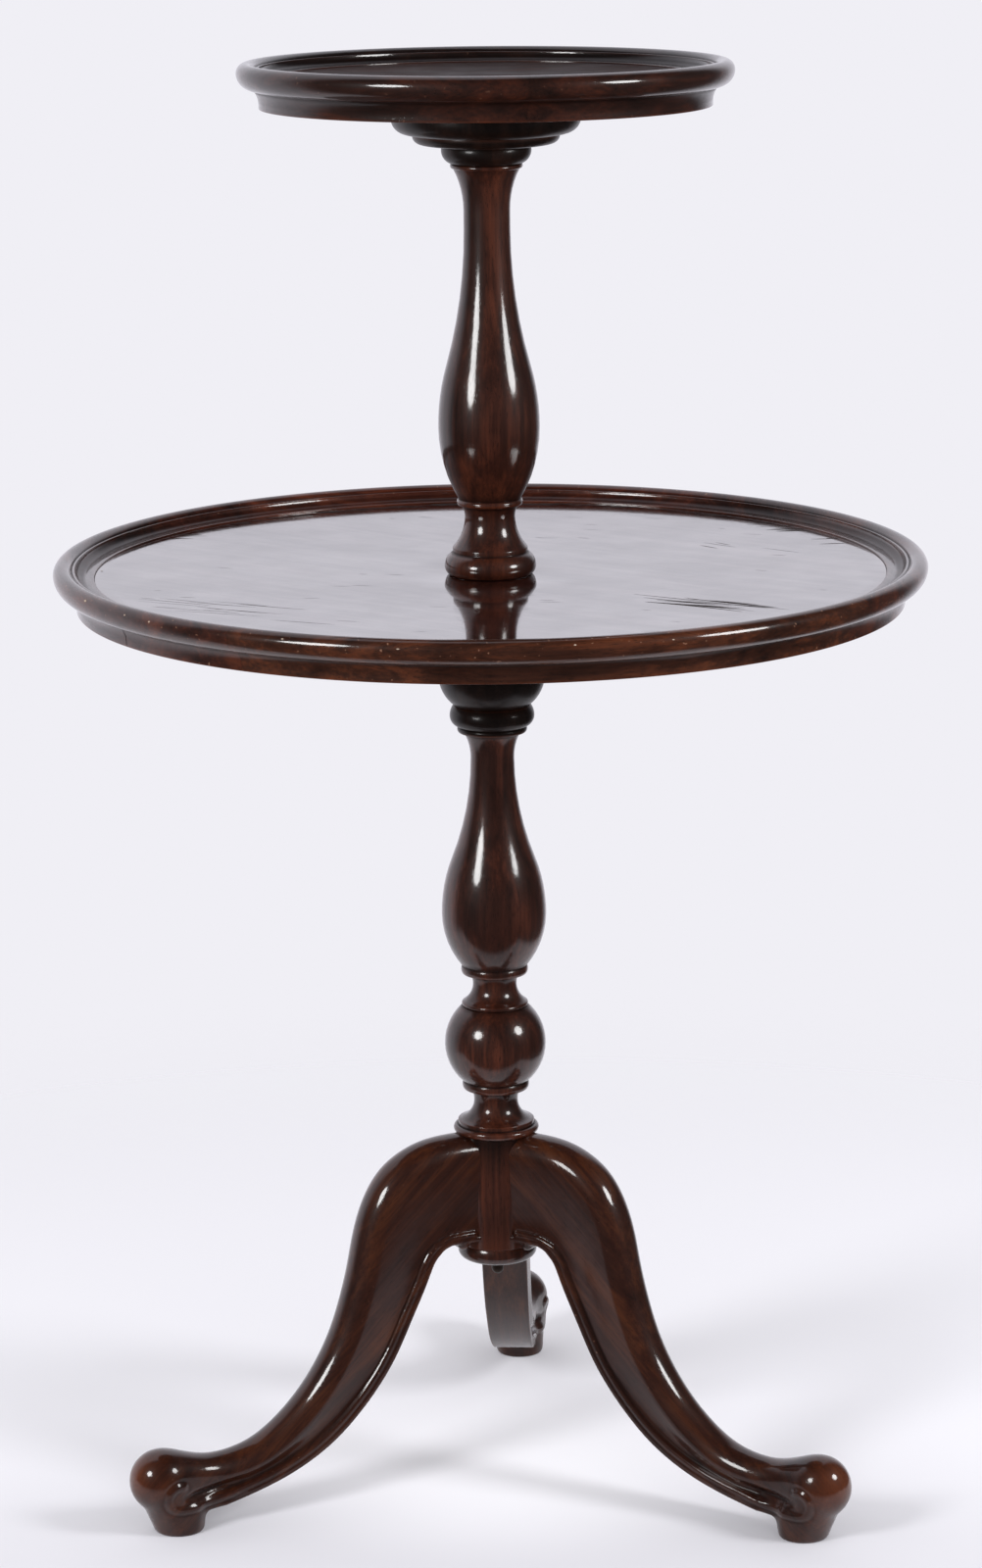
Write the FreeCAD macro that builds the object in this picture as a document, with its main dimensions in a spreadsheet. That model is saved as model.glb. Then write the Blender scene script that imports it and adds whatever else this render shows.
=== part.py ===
import FreeCAD, Part
import math
import os

import Sketcher
from FreeCAD import Placement, Rotation, Vector

# A two-tier table on a tripod: two round trays with moulded rims turn on a turned pillar that
# stands on three cabriole legs. Millimetres, +Z up, the origin on the floor under the pillar,
# and the back leg along +Y.

DRIVING_SIZES = {
    # Fits between the pieces
    "running_clearance": 0.05,
    "glue_clearance": 0.05,
    "lift_clearance": 0.3,
    "cut_overrun": 2.0,
    # Block at the foot of the pillar, where the legs join
    "block_level": 160.0,
    "block_height": 76.0,
    "block_radius": 25.0,
    "socket_cap_height": 5.0,
    "tongue_depth": 12.0,
    "tongue_neck_width": 11.0,
    "tongue_root_width": 15.0,
    # Courses of the lower column above the block, in the order that they stand
    "lower_collar_height": 5.0,
    "lower_collar_undercut": 1.4,
    "lower_collar_radius": 28.0,
    "lower_lip_height": 3.2,
    "lower_lip_radius": 25.0,
    "lower_foot_cove_height": 21.0,
    "lower_foot_cove_radius": 14.35,
    "lower_foot_cove_head_radius": 16.4,
    "lower_ball_fillet_height": 5.6,
    "lower_ball_fillet_radius": 21.9,
    "lower_ball_height": 50.7,
    "lower_ball_end_radius": 21.6,
    "lower_ball_radius": 33.1,
    "lower_waist_fillet_height": 3.1,
    "lower_waist_fillet_radius": 21.75,
    "lower_waist_cove_height": 18.8,
    "lower_waist_cove_radius": 14.3,
    "lower_waist_cove_head_radius": 16.4,
    "lower_vase_fillet_height": 5.5,
    "lower_vase_fillet_radius": 21.9,
    "lower_belly_height": 35.1,
    "lower_belly_foot_radius": 21.3,
    "lower_belly_radius": 34.1,
    "lower_vase_height": 104.0,
    "lower_neck_radius": 14.2,
    "lower_flare_height": 16.8,
    "lower_flare_radius": 18.6,
    "lower_neck_fillet_height": 4.0,
    "lower_neck_fillet_radius": 22.6,
    "lower_ring_height": 14.2,
    "lower_ring_undercut": 5.0,
    "lower_ring_radius": 27.4,
    "lower_ring_head_inset": 2.6,
    # Spindle that carries the lower tier, and the tenon that the upper column sits on
    "spindle_radius": 17.0,
    "tenon_radius": 9.5,
    "tenon_height": 44.0,
    "socket_slack": 1.0,
    # Courses of the upper column
    "upper_torus_height": 14.2,
    "upper_torus_undercut": 2.7,
    "upper_torus_radius": 29.4,
    "upper_lip_height": 3.0,
    "upper_lip_radius": 24.1,
    "upper_cove_height": 27.5,
    "upper_cove_radius": 16.1,
    "upper_cove_head_radius": 18.5,
    "upper_vase_fillet_height": 4.0,
    "upper_vase_fillet_radius": 21.1,
    "upper_belly_height": 46.5,
    "upper_belly_foot_radius": 19.9,
    "upper_belly_radius": 32.44,
    "upper_vase_height": 126.0,
    "upper_neck_radius": 14.84,
    "upper_neck_height": 12.0,
    "upper_flare_height": 26.4,
    "upper_flare_radius": 21.3,
    "upper_neck_fillet_height": 3.0,
    "upper_neck_fillet_radius": 23.05,
    "upper_ring_height": 12.6,
    "upper_ring_undercut": 5.85,
    "upper_ring_radius": 28.55,
    "upper_ring_head_inset": 0.95,
    "upper_spigot_radius": 11.0,
    "upper_spigot_end_gap": 2.9,
    # Small roundings shared by the fillets of both columns
    "fillet_round": 0.9,
    # Hub and flange under the lower tray
    "lower_cup_height": 20.0,
    "lower_cup_radius": 34.6,
    "lower_cup_band_height": 6.0,
    "lower_quirk_height": 3.0,
    "lower_quirk_radius": 31.0,
    "lower_hub_flare_height": 8.0,
    "lower_hub_tenon_radius": 27.0,
    "lower_step_height": 12.0,
    "lower_step_radius": 52.0,
    "lower_step_round": 7.0,
    "lower_flange_height": 19.6,
    "lower_flange_radius": 80.0,
    "lower_flange_round": 8.0,
    # Hub and flange under the upper tray
    "upper_hub_height": 6.6,
    "upper_hub_radius": 46.7,
    "upper_hub_tenon_radius": 20.0,
    "upper_flange_height": 17.3,
    "upper_flange_radius": 60.0,
    "upper_flange_round": 9.5,
    # Lower tray
    "lower_board_height": 16.9,
    "lower_rim_radius": 280.0,
    "lower_rim_width": 26.4,
    "lower_undercut": 14.4,
    "lower_edge_height": 3.0,
    "lower_cavetto_height": 9.5,
    "lower_cavetto_depth": 3.7,
    "lower_bead_step": 1.0,
    "lower_bead_height": 10.0,
    "lower_bead_width": 12.6,
    "lower_rim_quirk_rise": 0.7,
    "lower_rim_quirk_width": 2.6,
    "lower_rim_quirk_depth": 1.8,
    "lower_rim_step_width": 3.3,
    "lower_rim_cove_drop": 5.5,
    "lower_rim_lip_width": 0.8,
    "lower_tongue_length": 6.0,
    "lower_tongue_thickness": 5.0,
    # Upper tray
    "upper_board_height": 17.0,
    "upper_rim_radius": 156.7,
    "upper_rim_width": 26.4,
    "upper_undercut": 13.9,
    "upper_edge_height": 2.7,
    "upper_cavetto_height": 9.5,
    "upper_cavetto_depth": 3.7,
    "upper_bead_step": 1.0,
    "upper_bead_height": 10.0,
    "upper_bead_width": 12.6,
    "upper_rim_quirk_rise": 0.7,
    "upper_rim_quirk_width": 2.6,
    "upper_rim_quirk_depth": 1.8,
    "upper_rim_step_width": 3.3,
    "upper_rim_cove_drop": 5.2,
    "upper_rim_lip_width": 0.8,
    "upper_tongue_length": 6.0,
    "upper_tongue_thickness": 5.0,
    # Wood screws that hold the flanges to the boards
    "screw_head_radius": 3.0,
    "screw_head_height": 1.8,
    "screw_shank_radius": 1.5,
    "screw_grip": 9.0,
    # Turned disc that closes the underside of the block, and its tall round-headed screw
    "base_disc_height": 11.0,
    "base_disc_radius": 26.0,
    "base_disc_head_inset": 1.6,
    "base_disc_round": 5.7,
    "round_screw_head_radius": 4.0,
    "round_screw_collar": 8.4,
    "round_screw_shank_radius": 2.2,
    "round_screw_length": 32.0,
    # Cabriole legs
    "leg_root_lift": 5.0,
    "leg_thickness": 30.5,
    "leg_band_height": 2.6,
    "leg_bead_height": 4.4,
    "leg_quirk_depth": 1.6,
    "leg_hollow_depth": 2.6,
    "leg_roll_height": 16.0,
    "leg_roll_lip_depth": 1.4,
    "leg_roll_lip_height": 3.0,
    "leg_scroll_radius": 5.0,
    "leg_scroll_reach": 6.0,
    "leg_scroll_lift": 2.0,
    "leg_scroll_overhang": 0.6,
    "knob_reach": 245.0,
    "knob_level": 35.5,
    "knob_radius": 21.3,
    "knob_side_radius": 20.0,
    "foot_scroll_setback": 11.3,
    "foot_scroll_level": 21.9,
    "foot_scroll_radius": 9.5,
    "foot_scroll_width": 35.0,
    "pad_setback": 10.5,
    "pad_radius": 15.6,
    "pad_height": 12.5,
    "pad_head_radius": 17.2,
    "pad_neck_height": 7.5,
    "pad_neck_radius": 14.0,
    # Counts, turns and shares
    "rim_segment_count": 4,
    "lower_screw_count": 6,
    "upper_screw_count": 4,
    "lower_rim_turn_angle": 59.0,
    "upper_rim_turn_angle": 13.4,
    "back_leg_angle": 90.0,
    "upper_hub_round_share": 0.8,
    "cove_waist_share": 0.62,
    "upper_cove_waist_share": 0.73,
    "lower_vase_turn_share": 0.355,
    "upper_vase_turn_share": 0.31,
    "lower_ring_crown_share": 0.48,
    "upper_ring_crown_share": 0.66,
    "upper_torus_crown_share": 0.39,
}

FULL_TURN = 360.0
TIERS = ("lower", "upper")
LEG_LABELS = ("leg_back", "leg_left", "leg_right")

# Edges of an outline: straight, or an arc that stands upright at its start or at its end
LINE = "line"
FROM_UPRIGHT = "from upright"
TO_UPRIGHT = "to upright"

# Stations along a leg from the block to the toe. Ridge and lower edge are given as shares of
# the reach from block to toe knob and of their height at the block, then the leg's thickness
# as a share of the thickness at the block, and how much of the carved relief is left.
LEG_STATION_SHARES = (
    (-0.050, 1.005, -0.050, 1.000, 1.00, 1.00),
    (0.077, 1.004, 0.055, 1.001, 1.00, 1.00),
    (0.177, 0.983, 0.077, 0.996, 1.00, 1.00),
    (0.265, 0.931, 0.093, 0.986, 1.00, 1.00),
    (0.325, 0.848, 0.105, 0.967, 1.00, 1.00),
    (0.358, 0.759, 0.126, 0.932, 1.00, 1.00),
    (0.380, 0.666, 0.159, 0.856, 1.00, 1.00),
    (0.407, 0.575, 0.207, 0.725, 0.99, 1.00),
    (0.442, 0.487, 0.263, 0.580, 0.98, 1.00),
    (0.491, 0.404, 0.339, 0.438, 0.96, 1.00),
    (0.553, 0.329, 0.439, 0.305, 0.94, 1.00),
    (0.628, 0.265, 0.546, 0.210, 0.91, 1.00),
    (0.716, 0.218, 0.670, 0.142, 0.88, 1.00),
    (0.815, 0.201, 0.797, 0.096, 0.87, 0.90),
    (0.890, 0.212, 0.891, 0.071, 0.94, 0.50),
    (0.968, 0.237, 0.977, 0.085, 1.20, 0.10),
)

document = FreeCAD.newDocument("TieredTable")
sheet = document.addObject("Spreadsheet::Sheet", "Sizes")
cell_names = []
sub_parts = []


def enter(name, content):
    """Give the sheet one more named cell."""
    cell_names.append(name)
    row = len(cell_names)
    sheet.set(f"A{row}", name)
    sheet.set(f"B{row}", content)
    sheet.setAlias(f"B{row}", name)


def derive(name, formula):
    """Name a size that follows from other cells."""
    enter(name, f"={formula}")


def size(name):
    """The value of one cell."""
    return float(sheet.get(name))


def stack(base, courses):
    """Name the top of each course of a turning, one above the other."""
    below = base
    for course in courses:
        derive(f"{course}_top", f"{below} + {course}_height")
        below = f"{course}_top"


for driving_name, driving_value in DRIVING_SIZES.items():
    enter(driving_name, str(driving_value))
enter("leg_count", str(len(LEG_LABELS)))

# Levels of the lower column, its hub, flange and board
stack("block_level", (
    "block", "lower_collar", "lower_lip", "lower_foot_cove", "lower_ball_fillet", "lower_ball",
    "lower_waist_fillet", "lower_waist_cove", "lower_vase_fillet", "lower_belly", "lower_vase",
    "lower_flare", "lower_neck_fillet", "lower_ring", "lower_cup", "lower_cup_band",
    "lower_quirk", "lower_hub_flare", "lower_step", "lower_flange", "lower_board"))
derive("upper_column_level", "lower_board_top + lift_clearance")
derive("tenon_top", "upper_column_level + tenon_height")
derive("lower_collar_crown", "(block_top + lower_collar_top) / 2")
derive("lower_foot_cove_waist", "lower_lip_top + lower_foot_cove_height * cove_waist_share")
derive("lower_ball_crown", "(lower_ball_fillet_top + lower_ball_top) / 2")
derive("lower_waist_cove_waist",
       "lower_waist_fillet_top + lower_waist_cove_height * cove_waist_share")
derive("lower_ring_crown", "lower_neck_fillet_top + lower_ring_height * lower_ring_crown_share")

# Levels of the upper column, its hub, flange and board
stack("upper_column_level", (
    "upper_torus", "upper_lip", "upper_cove", "upper_vase_fillet", "upper_belly", "upper_vase",
    "upper_neck", "upper_flare", "upper_neck_fillet", "upper_ring", "upper_hub",
    "upper_flange", "upper_board"))
derive("upper_socket_top", "tenon_top + socket_slack")
derive("upper_spigot_top", "upper_flange_top - upper_spigot_end_gap")
derive("upper_torus_crown", "upper_column_level + upper_torus_height * upper_torus_crown_share")
derive("upper_cove_waist", "upper_lip_top + upper_cove_height * upper_cove_waist_share")
derive("upper_ring_crown", "upper_neck_fillet_top + upper_ring_height * upper_ring_crown_share")

# The swelling vase of each column turns from round to hollow on the line from belly to neck
for tier in TIERS:
    derive(f"{tier}_vase_turn_radius",
           f"{tier}_belly_radius + ({tier}_neck_radius - {tier}_belly_radius)"
           f" * {tier}_vase_turn_share")
    derive(f"{tier}_vase_turn", f"{tier}_belly_top + {tier}_vase_height * {tier}_vase_turn_share")

# Collar, rings and torus are rounds that are cut in below and above their widest radius
derive("lower_collar_seat_radius", "lower_collar_radius - lower_collar_undercut")
derive("upper_torus_foot_radius", "upper_torus_radius - upper_torus_undercut")
for tier in TIERS:
    derive(f"{tier}_ring_foot_radius", f"{tier}_ring_radius - {tier}_ring_undercut")
    derive(f"{tier}_ring_head_radius", f"{tier}_ring_radius - {tier}_ring_head_inset")

# Each fillet is a thin disc with a rounded edge
for fillet, below in (
        ("lower_ball_fillet", "lower_foot_cove"), ("lower_waist_fillet", "lower_ball"),
        ("lower_vase_fillet", "lower_waist_cove"), ("lower_neck_fillet", "lower_flare"),
        ("upper_vase_fillet", "upper_cove"), ("upper_neck_fillet", "upper_flare")):
    derive(f"{fillet}_edge_radius", f"{fillet}_radius - fillet_round")
    derive(f"{fillet}_crown", f"({below}_top + {fillet}_top) / 2")

# Bores and seats of the turning fits and of the glued joints
derive("spindle_bore_radius", "spindle_radius + running_clearance")
derive("tenon_bore_radius", "tenon_radius + glue_clearance")
derive("upper_spigot_bore_radius", "upper_spigot_radius + running_clearance")
derive("lower_flange_bore_radius", "lower_hub_tenon_radius + glue_clearance")
derive("upper_flange_bore_radius", "upper_hub_tenon_radius + glue_clearance")
derive("lower_hub_flare_radius", "lower_quirk_radius + lower_hub_flare_height")
derive("lower_step_seat_radius", "lower_step_radius - lower_step_round")
derive("lower_step_round_top", "lower_hub_flare_top + lower_step_round")
derive("lower_flange_seat_radius", "lower_flange_radius - lower_flange_round")
derive("lower_flange_round_top", "lower_step_top + lower_flange_round")
derive("upper_hub_round", "upper_hub_height * upper_hub_round_share")
derive("upper_hub_seat_radius", "upper_hub_radius - upper_hub_round")
derive("upper_hub_round_top", "upper_ring_top + upper_hub_round")
derive("upper_flange_seat_radius", "upper_flange_radius - upper_flange_round")
derive("upper_flange_round_top", "upper_hub_top + upper_flange_round")

# Base disc and round-headed screw
derive("base_disc_level", "block_level - base_disc_height")
derive("base_disc_crown", "base_disc_level + base_disc_round")
derive("base_disc_foot_radius", "base_disc_radius - base_disc_round")
derive("base_disc_head_radius", "base_disc_radius - base_disc_head_inset")
derive("round_screw_dome_top", "base_disc_level - round_screw_collar")
derive("round_screw_level", "round_screw_dome_top - round_screw_head_radius")
derive("round_screw_top", "base_disc_level + round_screw_length")
derive("round_screw_bore_radius", "round_screw_shank_radius + glue_clearance")
derive("round_screw_bore_top", "round_screw_top + glue_clearance")

# Dovetail sockets, drawn about the line of the back leg
derive("socket_height", "block_height - socket_cap_height")
derive("tongue_inner_radius", "block_radius - tongue_depth")
derive("socket_inner_radius", "tongue_inner_radius - glue_clearance")
derive("socket_outer_radius", "block_radius + cut_overrun")
derive("socket_neck_right", "tongue_neck_width / 2 + glue_clearance")
derive("socket_neck_left", "-socket_neck_right")
derive("socket_root_right", "tongue_root_width / 2 + glue_clearance")
derive("socket_root_left", "-socket_root_right")
derive("leg_root_level", "block_level + leg_root_lift")
derive("pad_reach", "knob_reach - pad_setback")
derive("foot_scroll_reach", "knob_reach - foot_scroll_setback")

# The screws of each tier go through the middle of the face round its hub or step
derive("lower_screw_pitch_radius", "(lower_step_radius + lower_flange_seat_radius) / 2")
derive("upper_screw_pitch_radius", "(upper_ring_radius + upper_hub_seat_radius) / 2")

# Rim moulding, its tongue and the screws of each tier
for tier, screw_seat in (("lower", "lower_step_top"), ("upper", "upper_ring_top")):
    derive(f"{tier}_board_radius", f"{tier}_rim_radius - {tier}_rim_width")
    derive(f"{tier}_foot_radius", f"{tier}_rim_radius - {tier}_undercut")
    derive(f"{tier}_cavetto_head_radius", f"{tier}_foot_radius + {tier}_cavetto_depth")
    derive(f"{tier}_bead_foot_radius", f"{tier}_cavetto_head_radius + {tier}_bead_step")
    derive(f"{tier}_bead_inner_radius", f"{tier}_rim_radius - {tier}_bead_width")
    derive(f"{tier}_rim_quirk_radius", f"{tier}_bead_inner_radius - {tier}_rim_quirk_width / 2")
    derive(f"{tier}_rim_step_head_radius", f"{tier}_bead_inner_radius - {tier}_rim_quirk_width")
    derive(f"{tier}_rim_step_radius", f"{tier}_rim_step_head_radius - {tier}_rim_step_width")
    derive(f"{tier}_rim_lip_radius", f"{tier}_board_radius + {tier}_rim_lip_width")
    derive(f"{tier}_rim_joint_radius", f"{tier}_board_radius + glue_clearance")
    derive(f"{tier}_tongue_radius", f"{tier}_board_radius + {tier}_tongue_length")
    derive(f"{tier}_groove_radius", f"{tier}_tongue_radius + glue_clearance")
    derive(f"{tier}_edge_top", f"{tier}_flange_top + {tier}_edge_height")
    derive(f"{tier}_cavetto_top", f"{tier}_edge_top + {tier}_cavetto_height")
    derive(f"{tier}_bead_crown", f"{tier}_cavetto_top + {tier}_bead_height")
    derive(f"{tier}_rim_step_top", f"{tier}_bead_crown + {tier}_rim_quirk_rise")
    derive(f"{tier}_rim_quirk_floor", f"{tier}_rim_step_top - {tier}_rim_quirk_depth")
    derive(f"{tier}_rim_cove_foot", f"{tier}_rim_step_top - {tier}_rim_cove_drop")
    derive(f"{tier}_tongue_bottom",
           f"{tier}_flange_top + ({tier}_board_height - {tier}_tongue_thickness) / 2")
    derive(f"{tier}_tongue_top", f"{tier}_tongue_bottom + {tier}_tongue_thickness")
    derive(f"{tier}_groove_bottom", f"{tier}_tongue_bottom - glue_clearance")
    derive(f"{tier}_groove_top", f"{tier}_tongue_top + glue_clearance")
    derive(f"{tier}_screw_seat", screw_seat)
    derive(f"{tier}_screw_neck", f"{screw_seat} + screw_head_height")
    derive(f"{tier}_screw_tip", f"{tier}_flange_top + screw_grip")
    derive(f"{tier}_screw_bore_tip", f"{tier}_screw_tip + glue_clearance")
    derive(f"{tier}_screw_head_edge",
           f"{tier}_screw_pitch_radius + screw_head_radius + glue_clearance")
    derive(f"{tier}_screw_shank_edge",
           f"{tier}_screw_pitch_radius + screw_shank_radius + glue_clearance")

derive("axis_line", "0 * block_radius")
document.recompute()


def origin_feature(body, role):
    """One of a body's own planes or axes."""
    return next(item for item in body.Origin.OriginFeatures if item.Role == role)


def plane_sketch(body, role, name):
    """A sketch laid on one of its body's own planes."""
    sketch = body.newObject("Sketcher::SketchObject", name)
    sketch.AttachmentSupport = [(origin_feature(body, role), "")]
    sketch.MapMode = "FlatFace"
    return sketch


def upright_arc(start, stop, edge):
    """The arc between two points that is upright at one of them, and the order of its ends."""
    upright, other = (start, stop) if edge == FROM_UPRIGHT else (stop, start)
    reach = other.x - upright.x
    rise = other.y - upright.y
    radius = (reach ** 2 + rise ** 2) / (2 * abs(reach))
    centre = Vector(upright.x + math.copysign(radius, reach), upright.y, 0)
    start_angle = math.atan2(start.y - centre.y, start.x - centre.x)
    stop_angle = math.atan2(stop.y - centre.y, stop.x - centre.x)
    leaves_left = (rise > 0) == (reach < 0)
    runs_left = leaves_left if edge == FROM_UPRIGHT else not leaves_left
    circle = Part.Circle(centre, Vector(0, 0, 1), radius)
    if runs_left:
        return Part.ArcOfCircle(circle, start_angle, stop_angle), 1, 2
    return Part.ArcOfCircle(circle, stop_angle, start_angle), 2, 1


def bind(sketch, kind, geometry, position, cell):
    """Tie one coordinate of a point to a cell."""
    index = sketch.addConstraint(
        Sketcher.Constraint(kind, -1, 1, geometry, position, size(cell)))
    sketch.setExpression(f"Constraints[{index}]", f"Sizes.{cell}")


def draw_outline(sketch, points):
    """Draw a closed outline. Each point names its two cells and the edge that leads to it."""
    spots = [Vector(size(across), size(up), 0) for across, up, edge in points]
    drawn = []
    for index, (across, up, edge) in enumerate(points):
        start = spots[index - 1]
        stop = spots[index]
        if edge == LINE:
            first, last = 1, 2
            geometry = sketch.addGeometry(Part.LineSegment(start, stop))
        else:
            arc, first, last = upright_arc(start, stop, edge)
            geometry = sketch.addGeometry(arc)
        drawn.append((geometry, first, last))
    for index, (across, up, edge) in enumerate(points):
        geometry, first, last = drawn[index]
        before, before_first, before_last = drawn[index - 1]
        sketch.addConstraint(Sketcher.Constraint("Coincident", before, before_last, geometry, first))
        if edge != LINE:
            upright = first if edge == FROM_UPRIGHT else last
            sketch.addConstraint(Sketcher.Constraint("Horizontal", geometry, 3, geometry, upright))
        if across == "axis_line":
            sketch.addConstraint(Sketcher.Constraint("PointOnObject", geometry, last, -2))
        else:
            bind(sketch, "DistanceX", geometry, last, across)
        bind(sketch, "DistanceY", geometry, last, up)
    return drawn


def turn(label, points):
    """A piece turned about the upright axis from the outline of its half section."""
    body = document.addObject("PartDesign::Body", label)
    sketch = plane_sketch(body, "XZ_Plane", f"{label}_outline")
    draw_outline(sketch, points)
    turning = body.newObject("PartDesign::Revolution", f"{label}_turning")
    turning.Profile = sketch
    turning.ReferenceAxis = (sketch, ["V_Axis"])
    turning.Angle = FULL_TURN
    body.Tip = turning
    sub_parts.append(body)
    return body


def repeat_round(body, feature, count_cell):
    """Repeat a cut evenly about the upright axis."""
    pattern = body.newObject("PartDesign::PolarPattern", f"{feature.Name}_round")
    pattern.Originals = [feature]
    pattern.Axis = (origin_feature(body, "Z_Axis"), [""])
    pattern.Angle = FULL_TURN
    pattern.setExpression("Occurrences", f"Sizes.{count_cell}")
    body.Tip = pattern
    return pattern


def bore_screw_holes(body, tier):
    """The countersunk holes of a tier's screws, wherever they pass through this piece."""
    sketch = plane_sketch(body, "XZ_Plane", f"{body.Label}_screw_hole_outline")
    drawn = draw_outline(sketch, (
        (f"{tier}_screw_pitch_radius", f"{tier}_screw_seat", LINE),
        (f"{tier}_screw_head_edge", f"{tier}_screw_seat", LINE),
        (f"{tier}_screw_shank_edge", f"{tier}_screw_neck", LINE),
        (f"{tier}_screw_shank_edge", f"{tier}_screw_bore_tip", LINE),
        (f"{tier}_screw_pitch_radius", f"{tier}_screw_bore_tip", LINE)))
    axis_start = Vector(size(f"{tier}_screw_pitch_radius"), size(f"{tier}_screw_seat"), 0)
    axis_end = Vector(size(f"{tier}_screw_pitch_radius"), size(f"{tier}_screw_bore_tip"), 0)
    axis = sketch.addGeometry(Part.LineSegment(axis_start, axis_end), True)
    for position, (geometry, first, last) in ((1, drawn[0]), (2, drawn[-1])):
        sketch.addConstraint(Sketcher.Constraint("Coincident", axis, position, geometry, last))
    hole = body.newObject("PartDesign::Groove", f"{body.Label}_screw_hole")
    hole.Profile = sketch
    hole.ReferenceAxis = (sketch, ["Axis0"])
    hole.Angle = FULL_TURN
    repeat_round(body, hole, f"{tier}_screw_count")


# Lower column: the pillar's foot, ball, vase and ring, and the spindle and tenon above them
lower_column = turn("lower_column", (
    ("round_screw_bore_radius", "block_level", LINE),
    ("block_radius", "block_level", LINE),
    ("block_radius", "block_top", LINE),
    ("lower_collar_seat_radius", "block_top", LINE),
    ("lower_collar_radius", "lower_collar_crown", TO_UPRIGHT),
    ("lower_lip_radius", "lower_collar_top", FROM_UPRIGHT),
    ("lower_lip_radius", "lower_lip_top", LINE),
    ("lower_foot_cove_radius", "lower_foot_cove_waist", TO_UPRIGHT),
    ("lower_foot_cove_head_radius", "lower_foot_cove_top", FROM_UPRIGHT),
    ("lower_ball_fillet_edge_radius", "lower_foot_cove_top", LINE),
    ("lower_ball_fillet_radius", "lower_ball_fillet_crown", TO_UPRIGHT),
    ("lower_ball_fillet_edge_radius", "lower_ball_fillet_top", FROM_UPRIGHT),
    ("lower_ball_end_radius", "lower_ball_fillet_top", LINE),
    ("lower_ball_radius", "lower_ball_crown", TO_UPRIGHT),
    ("lower_ball_end_radius", "lower_ball_top", FROM_UPRIGHT),
    ("lower_waist_fillet_edge_radius", "lower_ball_top", LINE),
    ("lower_waist_fillet_radius", "lower_waist_fillet_crown", TO_UPRIGHT),
    ("lower_waist_fillet_edge_radius", "lower_waist_fillet_top", FROM_UPRIGHT),
    ("lower_waist_cove_radius", "lower_waist_cove_waist", TO_UPRIGHT),
    ("lower_waist_cove_head_radius", "lower_waist_cove_top", FROM_UPRIGHT),
    ("lower_vase_fillet_edge_radius", "lower_waist_cove_top", LINE),
    ("lower_vase_fillet_radius", "lower_vase_fillet_crown", TO_UPRIGHT),
    ("lower_vase_fillet_edge_radius", "lower_vase_fillet_top", FROM_UPRIGHT),
    ("lower_belly_foot_radius", "lower_vase_fillet_top", LINE),
    ("lower_belly_radius", "lower_belly_top", TO_UPRIGHT),
    ("lower_vase_turn_radius", "lower_vase_turn", FROM_UPRIGHT),
    ("lower_neck_radius", "lower_vase_top", TO_UPRIGHT),
    ("lower_flare_radius", "lower_flare_top", FROM_UPRIGHT),
    ("lower_neck_fillet_edge_radius", "lower_flare_top", LINE),
    ("lower_neck_fillet_radius", "lower_neck_fillet_crown", TO_UPRIGHT),
    ("lower_neck_fillet_edge_radius", "lower_neck_fillet_top", FROM_UPRIGHT),
    ("lower_ring_foot_radius", "lower_neck_fillet_top", LINE),
    ("lower_ring_radius", "lower_ring_crown", TO_UPRIGHT),
    ("lower_ring_head_radius", "lower_ring_top", FROM_UPRIGHT),
    ("spindle_radius", "lower_ring_top", LINE),
    ("spindle_radius", "upper_column_level", LINE),
    ("tenon_radius", "upper_column_level", LINE),
    ("tenon_radius", "tenon_top", LINE),
    ("axis_line", "tenon_top", LINE),
    ("axis_line", "round_screw_bore_top", LINE),
    ("round_screw_bore_radius", "round_screw_bore_top", LINE)))

# Dovetail sockets in the block, open at its underside so that the legs slide in from below
socket_sketch = plane_sketch(lower_column, "XY_Plane", "leg_socket_outline")
socket_sketch.setExpression("AttachmentOffset.Base.z", "Sizes.block_level")
draw_outline(socket_sketch, (
    ("socket_root_left", "socket_inner_radius", LINE),
    ("socket_root_right", "socket_inner_radius", LINE),
    ("socket_neck_right", "block_radius", LINE),
    ("socket_neck_right", "socket_outer_radius", LINE),
    ("socket_neck_left", "socket_outer_radius", LINE),
    ("socket_neck_left", "block_radius", LINE)))
leg_socket = lower_column.newObject("PartDesign::Pocket", "leg_socket")
leg_socket.Profile = socket_sketch
leg_socket.setExpression("Length", "Sizes.socket_height")
leg_socket.Reversed = True
repeat_round(lower_column, leg_socket, "leg_count")

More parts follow.
